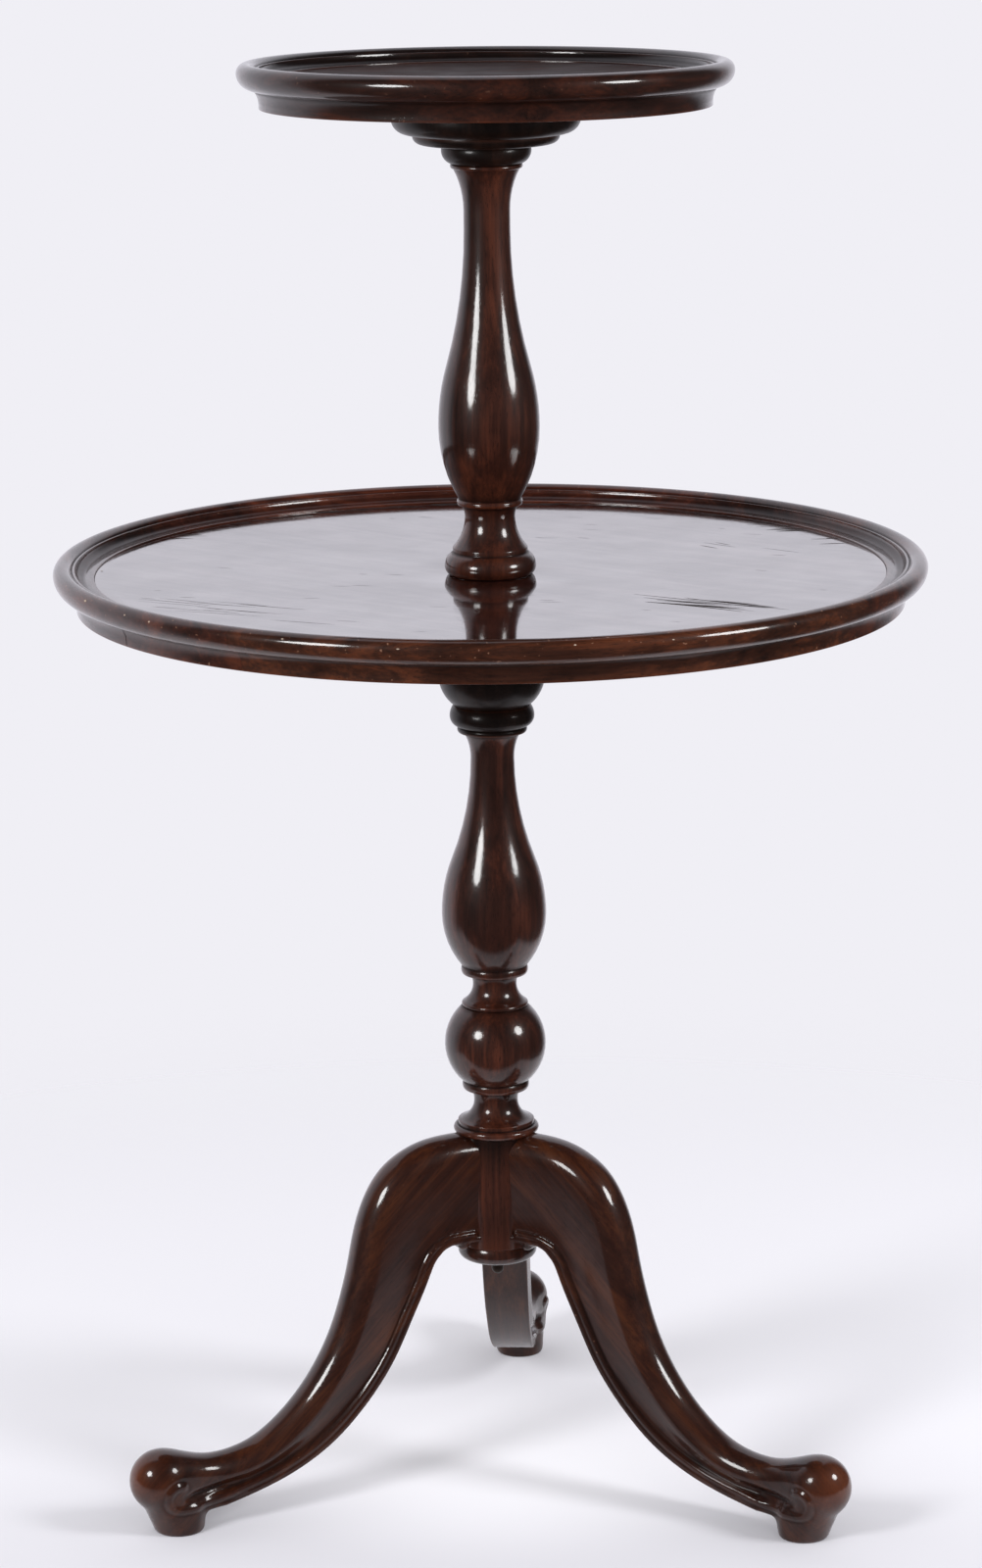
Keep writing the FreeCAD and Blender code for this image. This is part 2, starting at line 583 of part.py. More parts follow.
# Upper column: foot torus, cove, vase and ring, with a socket below and a spigot above
turn("upper_column", (
    ("tenon_bore_radius", "upper_column_level", LINE),
    ("upper_torus_foot_radius", "upper_column_level", LINE),
    ("upper_torus_radius", "upper_torus_crown", TO_UPRIGHT),
    ("upper_lip_radius", "upper_torus_top", FROM_UPRIGHT),
    ("upper_lip_radius", "upper_lip_top", LINE),
    ("upper_cove_radius", "upper_cove_waist", TO_UPRIGHT),
    ("upper_cove_head_radius", "upper_cove_top", FROM_UPRIGHT),
    ("upper_vase_fillet_edge_radius", "upper_cove_top", LINE),
    ("upper_vase_fillet_radius", "upper_vase_fillet_crown", TO_UPRIGHT),
    ("upper_vase_fillet_edge_radius", "upper_vase_fillet_top", FROM_UPRIGHT),
    ("upper_belly_foot_radius", "upper_vase_fillet_top", LINE),
    ("upper_belly_radius", "upper_belly_top", TO_UPRIGHT),
    ("upper_vase_turn_radius", "upper_vase_turn", FROM_UPRIGHT),
    ("upper_neck_radius", "upper_vase_top", TO_UPRIGHT),
    ("upper_neck_radius", "upper_neck_top", LINE),
    ("upper_flare_radius", "upper_flare_top", FROM_UPRIGHT),
    ("upper_neck_fillet_edge_radius", "upper_flare_top", LINE),
    ("upper_neck_fillet_radius", "upper_neck_fillet_crown", TO_UPRIGHT),
    ("upper_neck_fillet_edge_radius", "upper_neck_fillet_top", FROM_UPRIGHT),
    ("upper_ring_foot_radius", "upper_neck_fillet_top", LINE),
    ("upper_ring_radius", "upper_ring_crown", TO_UPRIGHT),
    ("upper_ring_head_radius", "upper_ring_top", FROM_UPRIGHT),
    ("upper_spigot_radius", "upper_ring_top", LINE),
    ("upper_spigot_radius", "upper_spigot_top", LINE),
    ("axis_line", "upper_spigot_top", LINE),
    ("axis_line", "upper_socket_top", LINE),
    ("tenon_bore_radius", "upper_socket_top", LINE)))

# Base disc under the block, hiding the ends of the dovetails
turn("base_disc", (
    ("round_screw_bore_radius", "base_disc_level", LINE),
    ("base_disc_foot_radius", "base_disc_level", LINE),
    ("base_disc_radius", "base_disc_crown", TO_UPRIGHT),
    ("base_disc_head_radius", "block_level", FROM_UPRIGHT),
    ("round_screw_bore_radius", "block_level", LINE)))

# Round-headed screw that holds the base disc
turn("base_disc_screw", (
    ("axis_line", "round_screw_level", LINE),
    ("round_screw_head_radius", "round_screw_dome_top", TO_UPRIGHT),
    ("round_screw_head_radius", "base_disc_level", LINE),
    ("round_screw_shank_radius", "base_disc_level", LINE),
    ("round_screw_shank_radius", "round_screw_top", LINE),
    ("axis_line", "round_screw_top", LINE)))

# Hub of the lower tier: a cup that turns on the spindle and is glued up into the flange
turn("lower_hub", (
    ("spindle_bore_radius", "lower_ring_top", LINE),
    ("lower_ring_head_radius", "lower_ring_top", LINE),
    ("lower_cup_radius", "lower_cup_top", TO_UPRIGHT),
    ("lower_cup_radius", "lower_cup_band_top", LINE),
    ("lower_quirk_radius", "lower_cup_band_top", LINE),
    ("lower_quirk_radius", "lower_quirk_top", LINE),
    ("lower_hub_flare_radius", "lower_hub_flare_top", FROM_UPRIGHT),
    ("lower_hub_tenon_radius", "lower_hub_flare_top", LINE),
    ("lower_hub_tenon_radius", "lower_flange_top", LINE),
    ("spindle_bore_radius", "lower_flange_top", LINE)))

# Flange of the lower tier: a stepped disc screwed to the underside of the board
lower_flange = turn("lower_flange", (
    ("lower_flange_bore_radius", "lower_hub_flare_top", LINE),
    ("lower_step_seat_radius", "lower_hub_flare_top", LINE),
    ("lower_step_radius", "lower_step_round_top", TO_UPRIGHT),
    ("lower_step_radius", "lower_step_top", LINE),
    ("lower_flange_seat_radius", "lower_step_top", LINE),
    ("lower_flange_radius", "lower_flange_round_top", TO_UPRIGHT),
    ("lower_flange_radius", "lower_flange_top", LINE),
    ("lower_flange_bore_radius", "lower_flange_top", LINE)))
bore_screw_holes(lower_flange, "lower")

# Hub of the upper tier: the lower disc of the boss, which turns on the upper spigot
upper_hub = turn("upper_hub", (
    ("upper_spigot_bore_radius", "upper_ring_top", LINE),
    ("upper_hub_seat_radius", "upper_ring_top", LINE),
    ("upper_hub_radius", "upper_hub_round_top", TO_UPRIGHT),
    ("upper_hub_radius", "upper_hub_top", LINE),
    ("upper_hub_tenon_radius", "upper_hub_top", LINE),
    ("upper_hub_tenon_radius", "upper_flange_top", LINE),
    ("upper_spigot_bore_radius", "upper_flange_top", LINE)))
bore_screw_holes(upper_hub, "upper")

# Flange of the upper tier: the wide disc of the boss
upper_flange = turn("upper_flange", (
    ("upper_flange_bore_radius", "upper_hub_top", LINE),
    ("upper_flange_seat_radius", "upper_hub_top", LINE),
    ("upper_flange_radius", "upper_flange_round_top", TO_UPRIGHT),
    ("upper_flange_radius", "upper_flange_top", LINE),
    ("upper_flange_bore_radius", "upper_flange_top", LINE)))
bore_screw_holes(upper_flange, "upper")

# Boards of the two trays, with a tongue all round that the rim is glued over
board_bores = {"lower": "spindle_bore_radius", "upper": "axis_line"}
for tier in TIERS:
    board = turn(f"{tier}_board", (
        (board_bores[tier], f"{tier}_flange_top", LINE),
        (f"{tier}_board_radius", f"{tier}_flange_top", LINE),
        (f"{tier}_board_radius", f"{tier}_tongue_bottom", LINE),
        (f"{tier}_tongue_radius", f"{tier}_tongue_bottom", LINE),
        (f"{tier}_tongue_radius", f"{tier}_tongue_top", LINE),
        (f"{tier}_board_radius", f"{tier}_tongue_top", LINE),
        (f"{tier}_board_radius", f"{tier}_board_top", LINE),
        (board_bores[tier], f"{tier}_board_top", LINE)))
    bore_screw_holes(board, tier)


def mould_rim(tier, number):
    """One curved length of a tray's rim: bead, quirk and cove above, cavetto below."""
    segment = turn(f"{tier}_rim_{number}", (
        (f"{tier}_rim_joint_radius", f"{tier}_flange_top", LINE),
        (f"{tier}_foot_radius", f"{tier}_flange_top", LINE),
        (f"{tier}_foot_radius", f"{tier}_edge_top", LINE),
        (f"{tier}_cavetto_head_radius", f"{tier}_cavetto_top", FROM_UPRIGHT),
        (f"{tier}_bead_foot_radius", f"{tier}_cavetto_top", LINE),
        (f"{tier}_rim_radius", f"{tier}_bead_crown", TO_UPRIGHT),
        (f"{tier}_bead_inner_radius", f"{tier}_rim_step_top", FROM_UPRIGHT),
        (f"{tier}_rim_quirk_radius", f"{tier}_rim_quirk_floor", LINE),
        (f"{tier}_rim_step_head_radius", f"{tier}_rim_step_top", LINE),
        (f"{tier}_rim_step_radius", f"{tier}_rim_step_top", LINE),
        (f"{tier}_rim_lip_radius", f"{tier}_rim_cove_foot", FROM_UPRIGHT),
        (f"{tier}_rim_joint_radius", f"{tier}_rim_cove_foot", LINE),
        (f"{tier}_rim_joint_radius", f"{tier}_groove_top", LINE),
        (f"{tier}_groove_radius", f"{tier}_groove_top", LINE),
        (f"{tier}_groove_radius", f"{tier}_groove_bottom", LINE),
        (f"{tier}_rim_joint_radius", f"{tier}_groove_bottom", LINE)))
    segment.Tip.setExpression("Angle", f"{FULL_TURN} / Sizes.rim_segment_count")
    turned_by = size(f"{tier}_rim_turn_angle") + (number - 1) * FULL_TURN / size("rim_segment_count")
    segment.Placement = Placement(Vector(), Rotation(Vector(0, 0, 1), turned_by))


for tier in TIERS:
    for number in range(1, int(size("rim_segment_count")) + 1):
        mould_rim(tier, number)


def set_screws(tier):
    """The countersunk screws of one tier, a group of separate solids."""
    screw_outline = Part.makePolygon([
        Vector(0, 0, size(f"{tier}_screw_seat")),
        Vector(size("screw_head_radius"), 0, size(f"{tier}_screw_seat")),
        Vector(size("screw_shank_radius"), 0, size(f"{tier}_screw_neck")),
        Vector(size("screw_shank_radius"), 0, size(f"{tier}_screw_tip")),
        Vector(0, 0, size(f"{tier}_screw_tip")),
        Vector(0, 0, size(f"{tier}_screw_seat"))])
    screw = Part.Face(screw_outline).revolve(Vector(), Vector(0, 0, 1), FULL_TURN)
    screw.translate(Vector(size(f"{tier}_screw_pitch_radius"), 0, 0))
    count = int(size(f"{tier}_screw_count"))
    screws = []
    for number in range(count):
        placed = screw.copy()
        placed.rotate(Vector(), Vector(0, 0, 1), number * FULL_TURN / count)
        screws.append(placed)
    group = document.addObject("Part::Feature", f"{tier}_flange_screws")
    group.Shape = Part.makeCompound(screws)
    group.Placement = Placement()
    sub_parts.append(group)


for tier in TIERS:
    set_screws(tier)


def leg_section(ridge, lower_edge, thickness, relief):
    """The outline across a leg: flat sole, edge bead, hollow side and rounded top roll."""
    rise = ridge - lower_edge
    depth = rise.Length
    upward = rise.normalize()
    half = thickness / 2
    bead_foot = size("leg_band_height")
    bead_head = bead_foot + size("leg_bead_height")
    roll_foot = depth - size("leg_roll_height")
    roll_side = roll_foot + size("leg_roll_lip_height")
    quirk = half - relief * size("leg_quirk_depth")
    hollow = half - relief * size("leg_hollow_depth")
    lip = half - relief * size("leg_roll_lip_depth")
    slant = math.sqrt(0.5)

    def spot(side, across, up):
        return lower_edge + upward * up + Vector(0, side * across, 0)

    def side_edges(side):
        lip_reach = half - lip
        lip_rise = roll_side - roll_foot
        lip_radius = (lip_reach ** 2 + lip_rise ** 2) / (2 * lip_reach)
        lip_turn = math.asin(lip_rise / lip_radius) / 2
        lip_middle = spot(side, half - lip_radius * (1 - math.cos(lip_turn)),
                          roll_side - lip_radius * math.sin(lip_turn))
        band = Part.LineSegment(spot(side, half, 0), spot(side, half, bead_foot))
        step = Part.LineSegment(spot(side, half, bead_foot), spot(side, quirk, bead_foot))
        bead = Part.Arc(spot(side, quirk, bead_foot), spot(side, half, (bead_foot + bead_head) / 2),
                        spot(side, quirk, bead_head))
        dish = Part.Arc(spot(side, quirk, bead_head), spot(side, hollow, (bead_head + roll_foot) / 2),
                        spot(side, lip, roll_foot))
        shoulder = Part.Arc(spot(side, lip, roll_foot), lip_middle, spot(side, half, roll_side))
        return [edge.toShape() for edge in (band, step, bead, dish, shoulder)]

    crown = depth - roll_side
    roll = Part.BSplineCurve()
    roll.interpolate(
        Points=[spot(1, half, roll_side), spot(1, half * slant, roll_side + crown * slant),
                spot(1, 0, depth),
                spot(-1, half * slant, roll_side + crown * slant), spot(-1, half, roll_side)],
        InitialTangent=upward * crown, FinalTangent=upward * -crown)
    under = Part.LineSegment(spot(-1, half, 0), spot(1, half, 0)).toShape()
    edges = [under] + side_edges(1) + [roll.toShape()] + side_edges(-1)[::-1]
    return Part.Wire(Part.__sortEdges__(edges))


def carve_leg():
    """One leg along +X: the lofted cabriole, its toe knob, pad, scrolls and dovetail tongue."""
    block = size("block_radius")
    span = size("knob_reach") - block
    sections = []
    for ridge_out, ridge_up, low_out, low_up, thickness, relief in LEG_STATION_SHARES:
        ridge = Vector(block + span * ridge_out, 0, size("block_top") * ridge_up)
        lower_edge = Vector(block + span * low_out, 0, size("leg_root_level") * low_up)
        sections.append(leg_section(ridge, lower_edge, size("leg_thickness") * thickness, relief))
    cabriole = Part.makeLoft(sections, True, False)

    knob = Part.makeSphere(size("knob_radius"))
    flatten = FreeCAD.Matrix()
    flatten.scale(1, size("knob_side_radius") / size("knob_radius"), 1)
    knob = knob.transformGeometry(flatten)
    knob.translate(Vector(size("knob_reach"), 0, size("knob_level")))

    pad = Part.makeCone(size("pad_radius"), size("pad_head_radius"), size("pad_height"))
    pad_neck = Part.makeCone(size("pad_head_radius"), size("pad_neck_radius"), size("pad_neck_height"),
                             Vector(0, 0, size("pad_height")))
    pad = pad.fuse(pad_neck)
    pad.translate(Vector(size("pad_reach"), 0, 0))

    scroll_length = size("leg_thickness") + 2 * size("leg_scroll_overhang")
    scroll = Part.makeCylinder(
        size("leg_scroll_radius"), scroll_length,
        Vector(block + size("leg_scroll_reach"), -scroll_length / 2,
               size("leg_root_level") + size("leg_scroll_lift")), Vector(0, 1, 0))

    foot_scroll = Part.makeCylinder(
        size("foot_scroll_radius"), size("foot_scroll_width"),
        Vector(size("foot_scroll_reach"), -size("foot_scroll_width") / 2, size("foot_scroll_level")),
        Vector(0, 1, 0))

    tongue_outline = Part.makePolygon([
        Vector(size("tongue_inner_radius"), -size("tongue_root_width") / 2, size("block_level")),
        Vector(size("tongue_inner_radius"), size("tongue_root_width") / 2, size("block_level")),
        Vector(block, size("tongue_neck_width") / 2, size("block_level")),
        Vector(block + size("cut_overrun"), size("tongue_neck_width") / 2, size("block_level")),
        Vector(block + size("cut_overrun"), -size("tongue_neck_width") / 2, size("block_level")),
        Vector(block, -size("tongue_neck_width") / 2, size("block_level")),
        Vector(size("tongue_inner_radius"), -size("tongue_root_width") / 2, size("block_level"))])
    tongue_height = size("socket_height") - size("glue_clearance")
    tongue = Part.Face(tongue_outline).extrude(Vector(0, 0, tongue_height))
    core = Part.makeCylinder(block + size("glue_clearance"), size("block_top"))
    collar = Part.makeCylinder(size("lower_collar_radius") + size("glue_clearance"),
                               size("lower_collar_height"), Vector(0, 0, size("block_top")))

    leg = cabriole.cut(core).cut(collar)
    for piece in (knob, pad, foot_scroll, scroll.cut(core), tongue.common(core)):
        leg = leg.fuse(piece)
    return leg.removeSplitter()


# The three legs, the back one first
leg_shape = carve_leg()
for number, label in enumerate(LEG_LABELS):
    leg = document.addObject("Part::Feature", label)
    leg.Shape = leg_shape
    leg_turn = size("back_leg_angle") + number * FULL_TURN / size("leg_count")
    leg.Placement = Placement(Vector(), Rotation(Vector(0, 0, 1), leg_turn))
    sub_parts.append(leg)

document.recompute()

for item in document.Objects:
    if "Invalid" in item.State or "Error" in item.State:
        raise RuntimeError(f"{item.Label} did not build: {item.State}")
for piece in sub_parts:
    if piece.Shape.isNull() or not piece.Shape.isValid() or not piece.Shape.Solids:
        raise RuntimeError(f"{piece.Label} has no valid shape")

os.makedirs("parts", exist_ok=True)
for piece in sub_parts:
    piece.Shape.exportStep(f"parts/{piece.Label}.step")
    print(piece.Label, len(piece.Shape.Solids), round(piece.Shape.Volume))
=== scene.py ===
import math

import bpy
import numpy as np
from mathutils import Matrix, Vector


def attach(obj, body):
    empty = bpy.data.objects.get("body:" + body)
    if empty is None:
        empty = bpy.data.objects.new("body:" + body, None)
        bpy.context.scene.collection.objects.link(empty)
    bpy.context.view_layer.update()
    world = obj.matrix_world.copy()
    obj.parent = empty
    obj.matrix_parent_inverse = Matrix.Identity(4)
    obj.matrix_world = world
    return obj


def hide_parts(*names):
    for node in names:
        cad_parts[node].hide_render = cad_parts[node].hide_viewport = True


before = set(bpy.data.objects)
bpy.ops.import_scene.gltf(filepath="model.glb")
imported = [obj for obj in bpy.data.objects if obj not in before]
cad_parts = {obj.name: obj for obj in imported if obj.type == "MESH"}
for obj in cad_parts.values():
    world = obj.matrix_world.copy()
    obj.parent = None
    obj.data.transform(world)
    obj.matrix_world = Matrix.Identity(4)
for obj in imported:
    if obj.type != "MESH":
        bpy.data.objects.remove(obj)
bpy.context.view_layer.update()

# Lower column: the pillar's foot, ball, vase and ring, turned from one billet of mahogany.
# The block at its foot takes the legs' dovetails, and the spindle above carries the lower tier.
# It was stained dark, French polished and rubbed to a deep gloss.
MM = 0.001
TURN_STEPS = 144
ARC_STEP = math.radians(7.0)
ARRIS_BEND = 0.35
ARRIS_SOFTENING = 0.45


def arc_points(start, stop, edge):
    """Points of an arc between two (radius, level) points, upright at its start or its end."""
    upright, other = (start, stop) if edge == "from_upright" else (stop, start)
    reach = other[0] - upright[0]
    rise = other[1] - upright[1]
    radius = (reach ** 2 + rise ** 2) / (2 * abs(reach))
    centre = upright[0] + math.copysign(radius, reach)
    first = math.atan2(start[1] - upright[1], start[0] - centre)
    last = math.atan2(stop[1] - upright[1], stop[0] - centre)
    leaves_left = (rise > 0) == (reach < 0)
    runs_left = leaves_left if edge == "from_upright" else not leaves_left
    if runs_left and last < first:
        last += 2 * math.pi
    if not runs_left and last > first:
        last -= 2 * math.pi
    steps = max(6, math.ceil(abs(last - first) / ARC_STEP))
    return [(centre + radius * math.cos(a), upright[1] + radius * math.sin(a))
            for a in np.linspace(first, last, steps + 1)[1:]]


def turning_line(outline):
    """The closed half section of a turned piece, its arrises softened as by years of polishing."""
    corners = []
    for index, (radius, level, edge) in enumerate(outline):
        if edge == "line":
            corners.append((radius, level))
        else:
            corners += arc_points(outline[index - 1][:2], (radius, level), edge)
    points = np.array(corners)
    soft = []
    for before, here, after in zip(np.roll(points, 1, 0), points, np.roll(points, -1, 0)):
        inward = before - here
        outward = after - here
        reach_in = np.linalg.norm(inward)
        reach_out = np.linalg.norm(outward)
        bend = math.acos(np.clip(-(inward @ outward) / (reach_in * reach_out), -1, 1))
        if bend < ARRIS_BEND or here[0] < 1.0:
            soft.append(here)
            continue
        cut_in = here + inward / reach_in * min(ARRIS_SOFTENING, 0.4 * reach_in)
        cut_out = here + outward / reach_out * min(ARRIS_SOFTENING, 0.4 * reach_out)
        for share in (0.0, 0.25, 0.5, 0.75, 1.0):
            soft.append((1 - share) ** 2 * cut_in + 2 * share * (1 - share) * here + share ** 2 * cut_out)
    return np.array(soft)


def hollowness(line, window=3.0):
    """How hollow (above zero) or proud (below zero) each point of a section line lies."""
    steps = np.linalg.norm(np.diff(line, axis=0, append=line[:1]), axis=1)
    along = np.concatenate(([0.0], np.cumsum(steps)))
    total = along[-1]
    looped = np.vstack((line, line[:1]))

    def at(spots):
        spots = np.mod(spots, total)
        return np.column_stack((np.interp(spots, along, looped[:, 0]), np.interp(spots, along, looped[:, 1])))

    here = along[:-1]
    chord = at(here + window) - at(here - window)
    bulge = (at(here + window) + at(here - window)) / 2 - line
    side = np.column_stack((chord[:, 1], -chord[:, 0]))
    side /= np.maximum(np.linalg.norm(side, axis=1, keepdims=True), 1e-9)
    return np.sum(bulge * side, axis=1) / window


def grid_mesh(name, points, hollow, around_closed, along_closed=True, caps=()):
    """A smooth mesh over a grid of points, rows along and columns around, with flat caps."""
    rows, columns = points.shape[:2]
    index = np.arange(rows * columns).reshape(rows, columns)
    down = np.roll(index, -1, 0)
    right = np.roll(index, -1, 1)
    both = np.roll(down, -1, 1)
    faces = np.stack((index, right, both, down), -1)
    if not along_closed:
        faces = faces[:-1]
    if not around_closed:
        faces = faces[:, :-1]
    spots = points.reshape(-1, 3) * MM
    marks = np.asarray(hollow, dtype=np.float32).ravel()
    faces = faces.reshape(-1, 4).tolist()
    for cap in caps:
        # A cap has corners of its own, so the edge round it stays crisp
        faces.append(list(range(len(spots), len(spots) + len(cap))))
        spots = np.vstack((spots, spots[cap]))
        marks = np.concatenate((marks, np.zeros(len(cap), dtype=np.float32)))
    mesh = bpy.data.meshes.new(name)
    mesh.from_pydata(spots.tolist(), [], faces)
    mesh.update()
    mesh.attributes.new("hollow", "FLOAT", "POINT").data.foreach_set("value", marks)
    mesh.shade_smooth()
    return mesh


def turned_mesh(name, outline, first_angle=0.0, last_angle=360.0, steps=TURN_STEPS):
    """A piece turned about the upright axis, whole or one curved length of it."""
    line = turning_line(outline)
    whole = last_angle - first_angle > 359.9
    angles = np.radians(np.linspace(first_angle, last_angle, steps + 1))
    if whole:
        angles = angles[:-1]
    radius = np.maximum(line[:, 0], 0.001)
    points = np.stack((radius[:, None] * np.cos(angles), radius[:, None] * np.sin(angles),
                       np.repeat(line[:, 1:], len(angles), 1)), -1)
    hollow = np.repeat(hollowness(line)[:, None], len(angles), 1)
    near_end = np.arange(len(line)) * len(angles)
    caps = () if whole else (near_end, (near_end + len(angles) - 1)[::-1])
    return grid_mesh(name, points, hollow, whole, caps=caps)


def linear(hex_colour):
    """An sRGB hex colour as linear RGBA."""
    shares = [int(hex_colour[spot:spot + 2], 16) / 255 for spot in (1, 3, 5)]
    return tuple(c / 12.92 if c < 0.04045 else ((c + 0.055) / 1.055) ** 2.4 for c in shares) + (1.0,)


def add_node(tree, kind, settings=None, **links):
    """One node with its settings; each input, by name or as i and a number, gets a value or a link."""
    node = tree.nodes.new(kind)
    for name, value in (settings or {}).items():
        setattr(node, name, value)
    for name, value in links.items():
        numbered = name[0] == "i" and name[1:].isdigit()
        socket = node.inputs[int(name[1:]) if numbered else name.replace("_", " ")]
        if isinstance(value, bpy.types.NodeSocket):
            tree.links.new(value, socket)
        else:
            socket.default_value = value
    return node


def maths(tree, operation, *values):
    """The output of a maths node over values and links, given in order."""
    inputs = {f"i{number}": value for number, value in enumerate(values)}
    return add_node(tree, "ShaderNodeMath", {"operation": operation}, **inputs).outputs[0]


def mixed(tree, share, below, above):
    """A colour that lies a share of the way from one to another."""
    return add_node(tree, "ShaderNodeMix", {"data_type": "RGBA"}, i0=share, i6=below, i7=above).outputs[2]


def noise(tree, spot, scale, detail):
    """Noise that has no direction, so many waves to the metre."""
    return add_node(tree, "ShaderNodeTexNoise", Vector=spot, Scale=scale, Detail=detail).outputs["Fac"]


def bare_material(name):
    """A material and its still empty node tree."""
    material = bpy.data.materials.new(name)
    material.use_nodes = True
    material.node_tree.nodes.clear()
    return material, material.node_tree


def mahogany(name, tones, grain_angles, seed, film=0.08, under_gloss=0.1, under_rough=0.35, nicks=0.0,
             worn_film=0.0, relief_depth=0.25, toe_wear=0.0, smears=0.0, unrubbed=0.0):
    """French-polished mahogany: brown streaks with short dark pores along the grain, under a clear film that
    is rubbed thin on the arrises. The hollows are painted dark, partly as wax and dust and partly as painted
    shade."""
    material, tree = bare_material(name)
    spot = add_node(tree, "ShaderNodeTexCoord").outputs["Object"]
    along = add_node(tree, "ShaderNodeMapping", {"vector_type": "TEXTURE"},
                     Vector=spot, Rotation=tuple(math.radians(a) for a in grain_angles)).outputs[0]

    def fibres(width, length, detail, shift, distortion=0.0):
        # Grain runs along the mapped X, so the pattern is as long there as a fibre bundle
        across = 1 / (width * MM)
        laid = add_node(tree, "ShaderNodeMapping", Vector=along, Location=(seed + shift, seed * 0.7, shift),
                        Scale=(1 / (length * MM), across, across)).outputs[0]
        return add_node(tree, "ShaderNodeTexNoise", Vector=laid, Scale=1.0, Detail=detail,
                        Roughness=0.55, Distortion=distortion).outputs["Fac"]

    def spread(value, low, high, least=0.0, most=1.0):
        return add_node(tree, "ShaderNodeMapRange", Value=value, From_Min=low, From_Max=high,
                        To_Min=least, To_Max=most).outputs[0]

    bands = fibres(11.0, 170.0, 2.0, 0.0, 0.7)
    streaks = fibres(1.8, 55.0, 3.0, 5.1)
    # Pores are near 0.2 mm wide, drawn 0.6 mm wide so that they show
    pores = fibres(0.6, 7.0, 1.0, 9.7)
    clouds = noise(tree, spot, 24.0, 3.0)
    tone = maths(tree, "MULTIPLY_ADD", clouds, 0.5, maths(tree, "MULTIPLY_ADD", streaks, 0.5, bands))
    wood = add_node(tree, "ShaderNodeValToRGB", Fac=spread(tone, 0.68, 1.32))
    ramp = wood.color_ramp
    ramp.elements[0].color = linear(tones[0])
    ramp.elements[1].color = linear(tones[2])
    ramp.elements.new(0.5).color = linear(tones[1])
    pore_mark = spread(pores, 0.60, 0.72, 0.0, 0.6)
    colour = mixed(tree, pore_mark, wood.outputs[0], linear("#0D0503"))
    hollow = add_node(tree, "ShaderNodeAttribute", {"attribute_name": "hollow"}).outputs["Fac"]
    # Painted shade: the hollows are darkened towards near black, standing partly for wax and dust and partly
    # for the shade that falls in them
    colour = mixed(tree, spread(hollow, 0.06, 0.45, 0.0, 0.8), colour, linear("#0C0504"))
    rubbed = maths(tree, "MULTIPLY", spread(hollow, -0.3, -0.8, 0.0, 0.45), clouds)
    colour = mixed(tree, rubbed, colour, linear("#6B3219"))
    if toe_wear:
        # Shoes have rubbed the stain off the ends of the toes
        reach = add_node(tree, "ShaderNodeSeparateXYZ", Vector=spot).outputs["X"]
        worn = maths(tree, "MULTIPLY", spread(reach, 238.0 * MM, 266.0 * MM, 0.0, toe_wear),
                     spread(clouds, 0.35, 0.65, 0.2, 1.0))
        colour = mixed(tree, worn, colour, linear("#7A3C1C"))
    if nicks:
        # Small dents through the polish, a millimetre or so across, on proud edges
        dents = noise(tree, spot, 420.0, 1.0)
        dented = maths(tree, "MULTIPLY", spread(dents, 0.72, 0.77, 0.0, nicks), spread(hollow, -0.05, -0.2))
        colour = mixed(tree, dented, colour, linear("#7C5A48"))
    dull = spread(clouds, 0.3, 0.75, under_rough, under_rough * 1.5)
    # Wax and dust fill the hollows, so the film shines less there
    film_left = 1.0 - worn_film
    shine = maths(tree, "MULTIPLY", spread(hollow, 0.04, 0.3, film_left, 0.3 * film_left),
                  spread(tone, 0.7, 1.3, 0.84, 1.0))
    if smears:
        # Wiping has left the film cloudy
        shine = maths(tree, "MULTIPLY", shine, spread(clouds, 0.35, 0.65, 1.0 - smears, 1.0))
    if unrubbed:
        # Rubbing brings up the rounded top; the flat sides and the underside stay duller
        facing = add_node(tree, "ShaderNodeVectorTransform",
                          {"vector_type": "NORMAL", "convert_from": "WORLD", "convert_to": "OBJECT"},
                          Vector=add_node(tree, "ShaderNodeNewGeometry").outputs["Normal"]).outputs[0]
        shares = add_node(tree, "ShaderNodeSeparateXYZ", Vector=facing)
        sideways = maths(tree, "ABSOLUTE", shares.outputs["Y"])
        inward = add_node(tree, "ShaderNodeVectorMath", {"operation": "DOT_PRODUCT"},
                          i0=facing, i1=(-0.7, 0.0, -0.7)).outputs["Value"]
        missed = maths(tree, "MAXIMUM", spread(sideways, 0.75, 0.97), spread(inward, 0.4, 0.7))
        shine = maths(tree, "MULTIPLY", shine, spread(missed, 0.0, 1.0, 1.0, 1.0 - unrubbed))
    # The film follows the grain a few hundredths of a millimetre deep and is a little wavy
    waves = noise(tree, spot, 70.0, 2.0)
    relief = maths(tree, "MULTIPLY_ADD", pore_mark, -0.2, maths(tree, "MULTIPLY_ADD", streaks, 0.3, waves))
    bump = add_node(tree, "ShaderNodeBump", Height=relief, Strength=0.35,
                    Distance=relief_depth * MM).outputs[0]
    shader = add_node(tree, "ShaderNodeBsdfPrincipled", Base_Color=colour, Roughness=dull, IOR=1.5,
                      Specular_IOR_Level=under_gloss, Coat_Weight=shine, Coat_Roughness=film, Coat_IOR=1.5,
                      Normal=bump, Coat_Normal=bump)
    add_node(tree, "ShaderNodeOutputMaterial", Surface=shader.outputs[0])
    return material


def put(name, mesh, material, body, slot, *nodes):
    """A finished piece in place of its CAD nodes."""
    piece = bpy.data.objects.new(name, mesh)
    bpy.context.scene.collection.objects.link(piece)
    mesh.materials.append(material)
    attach(piece, body)
    if nodes:
        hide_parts(*nodes)
    return piece


UPRIGHT_GRAIN = (0.0, -90.0, 0.0)
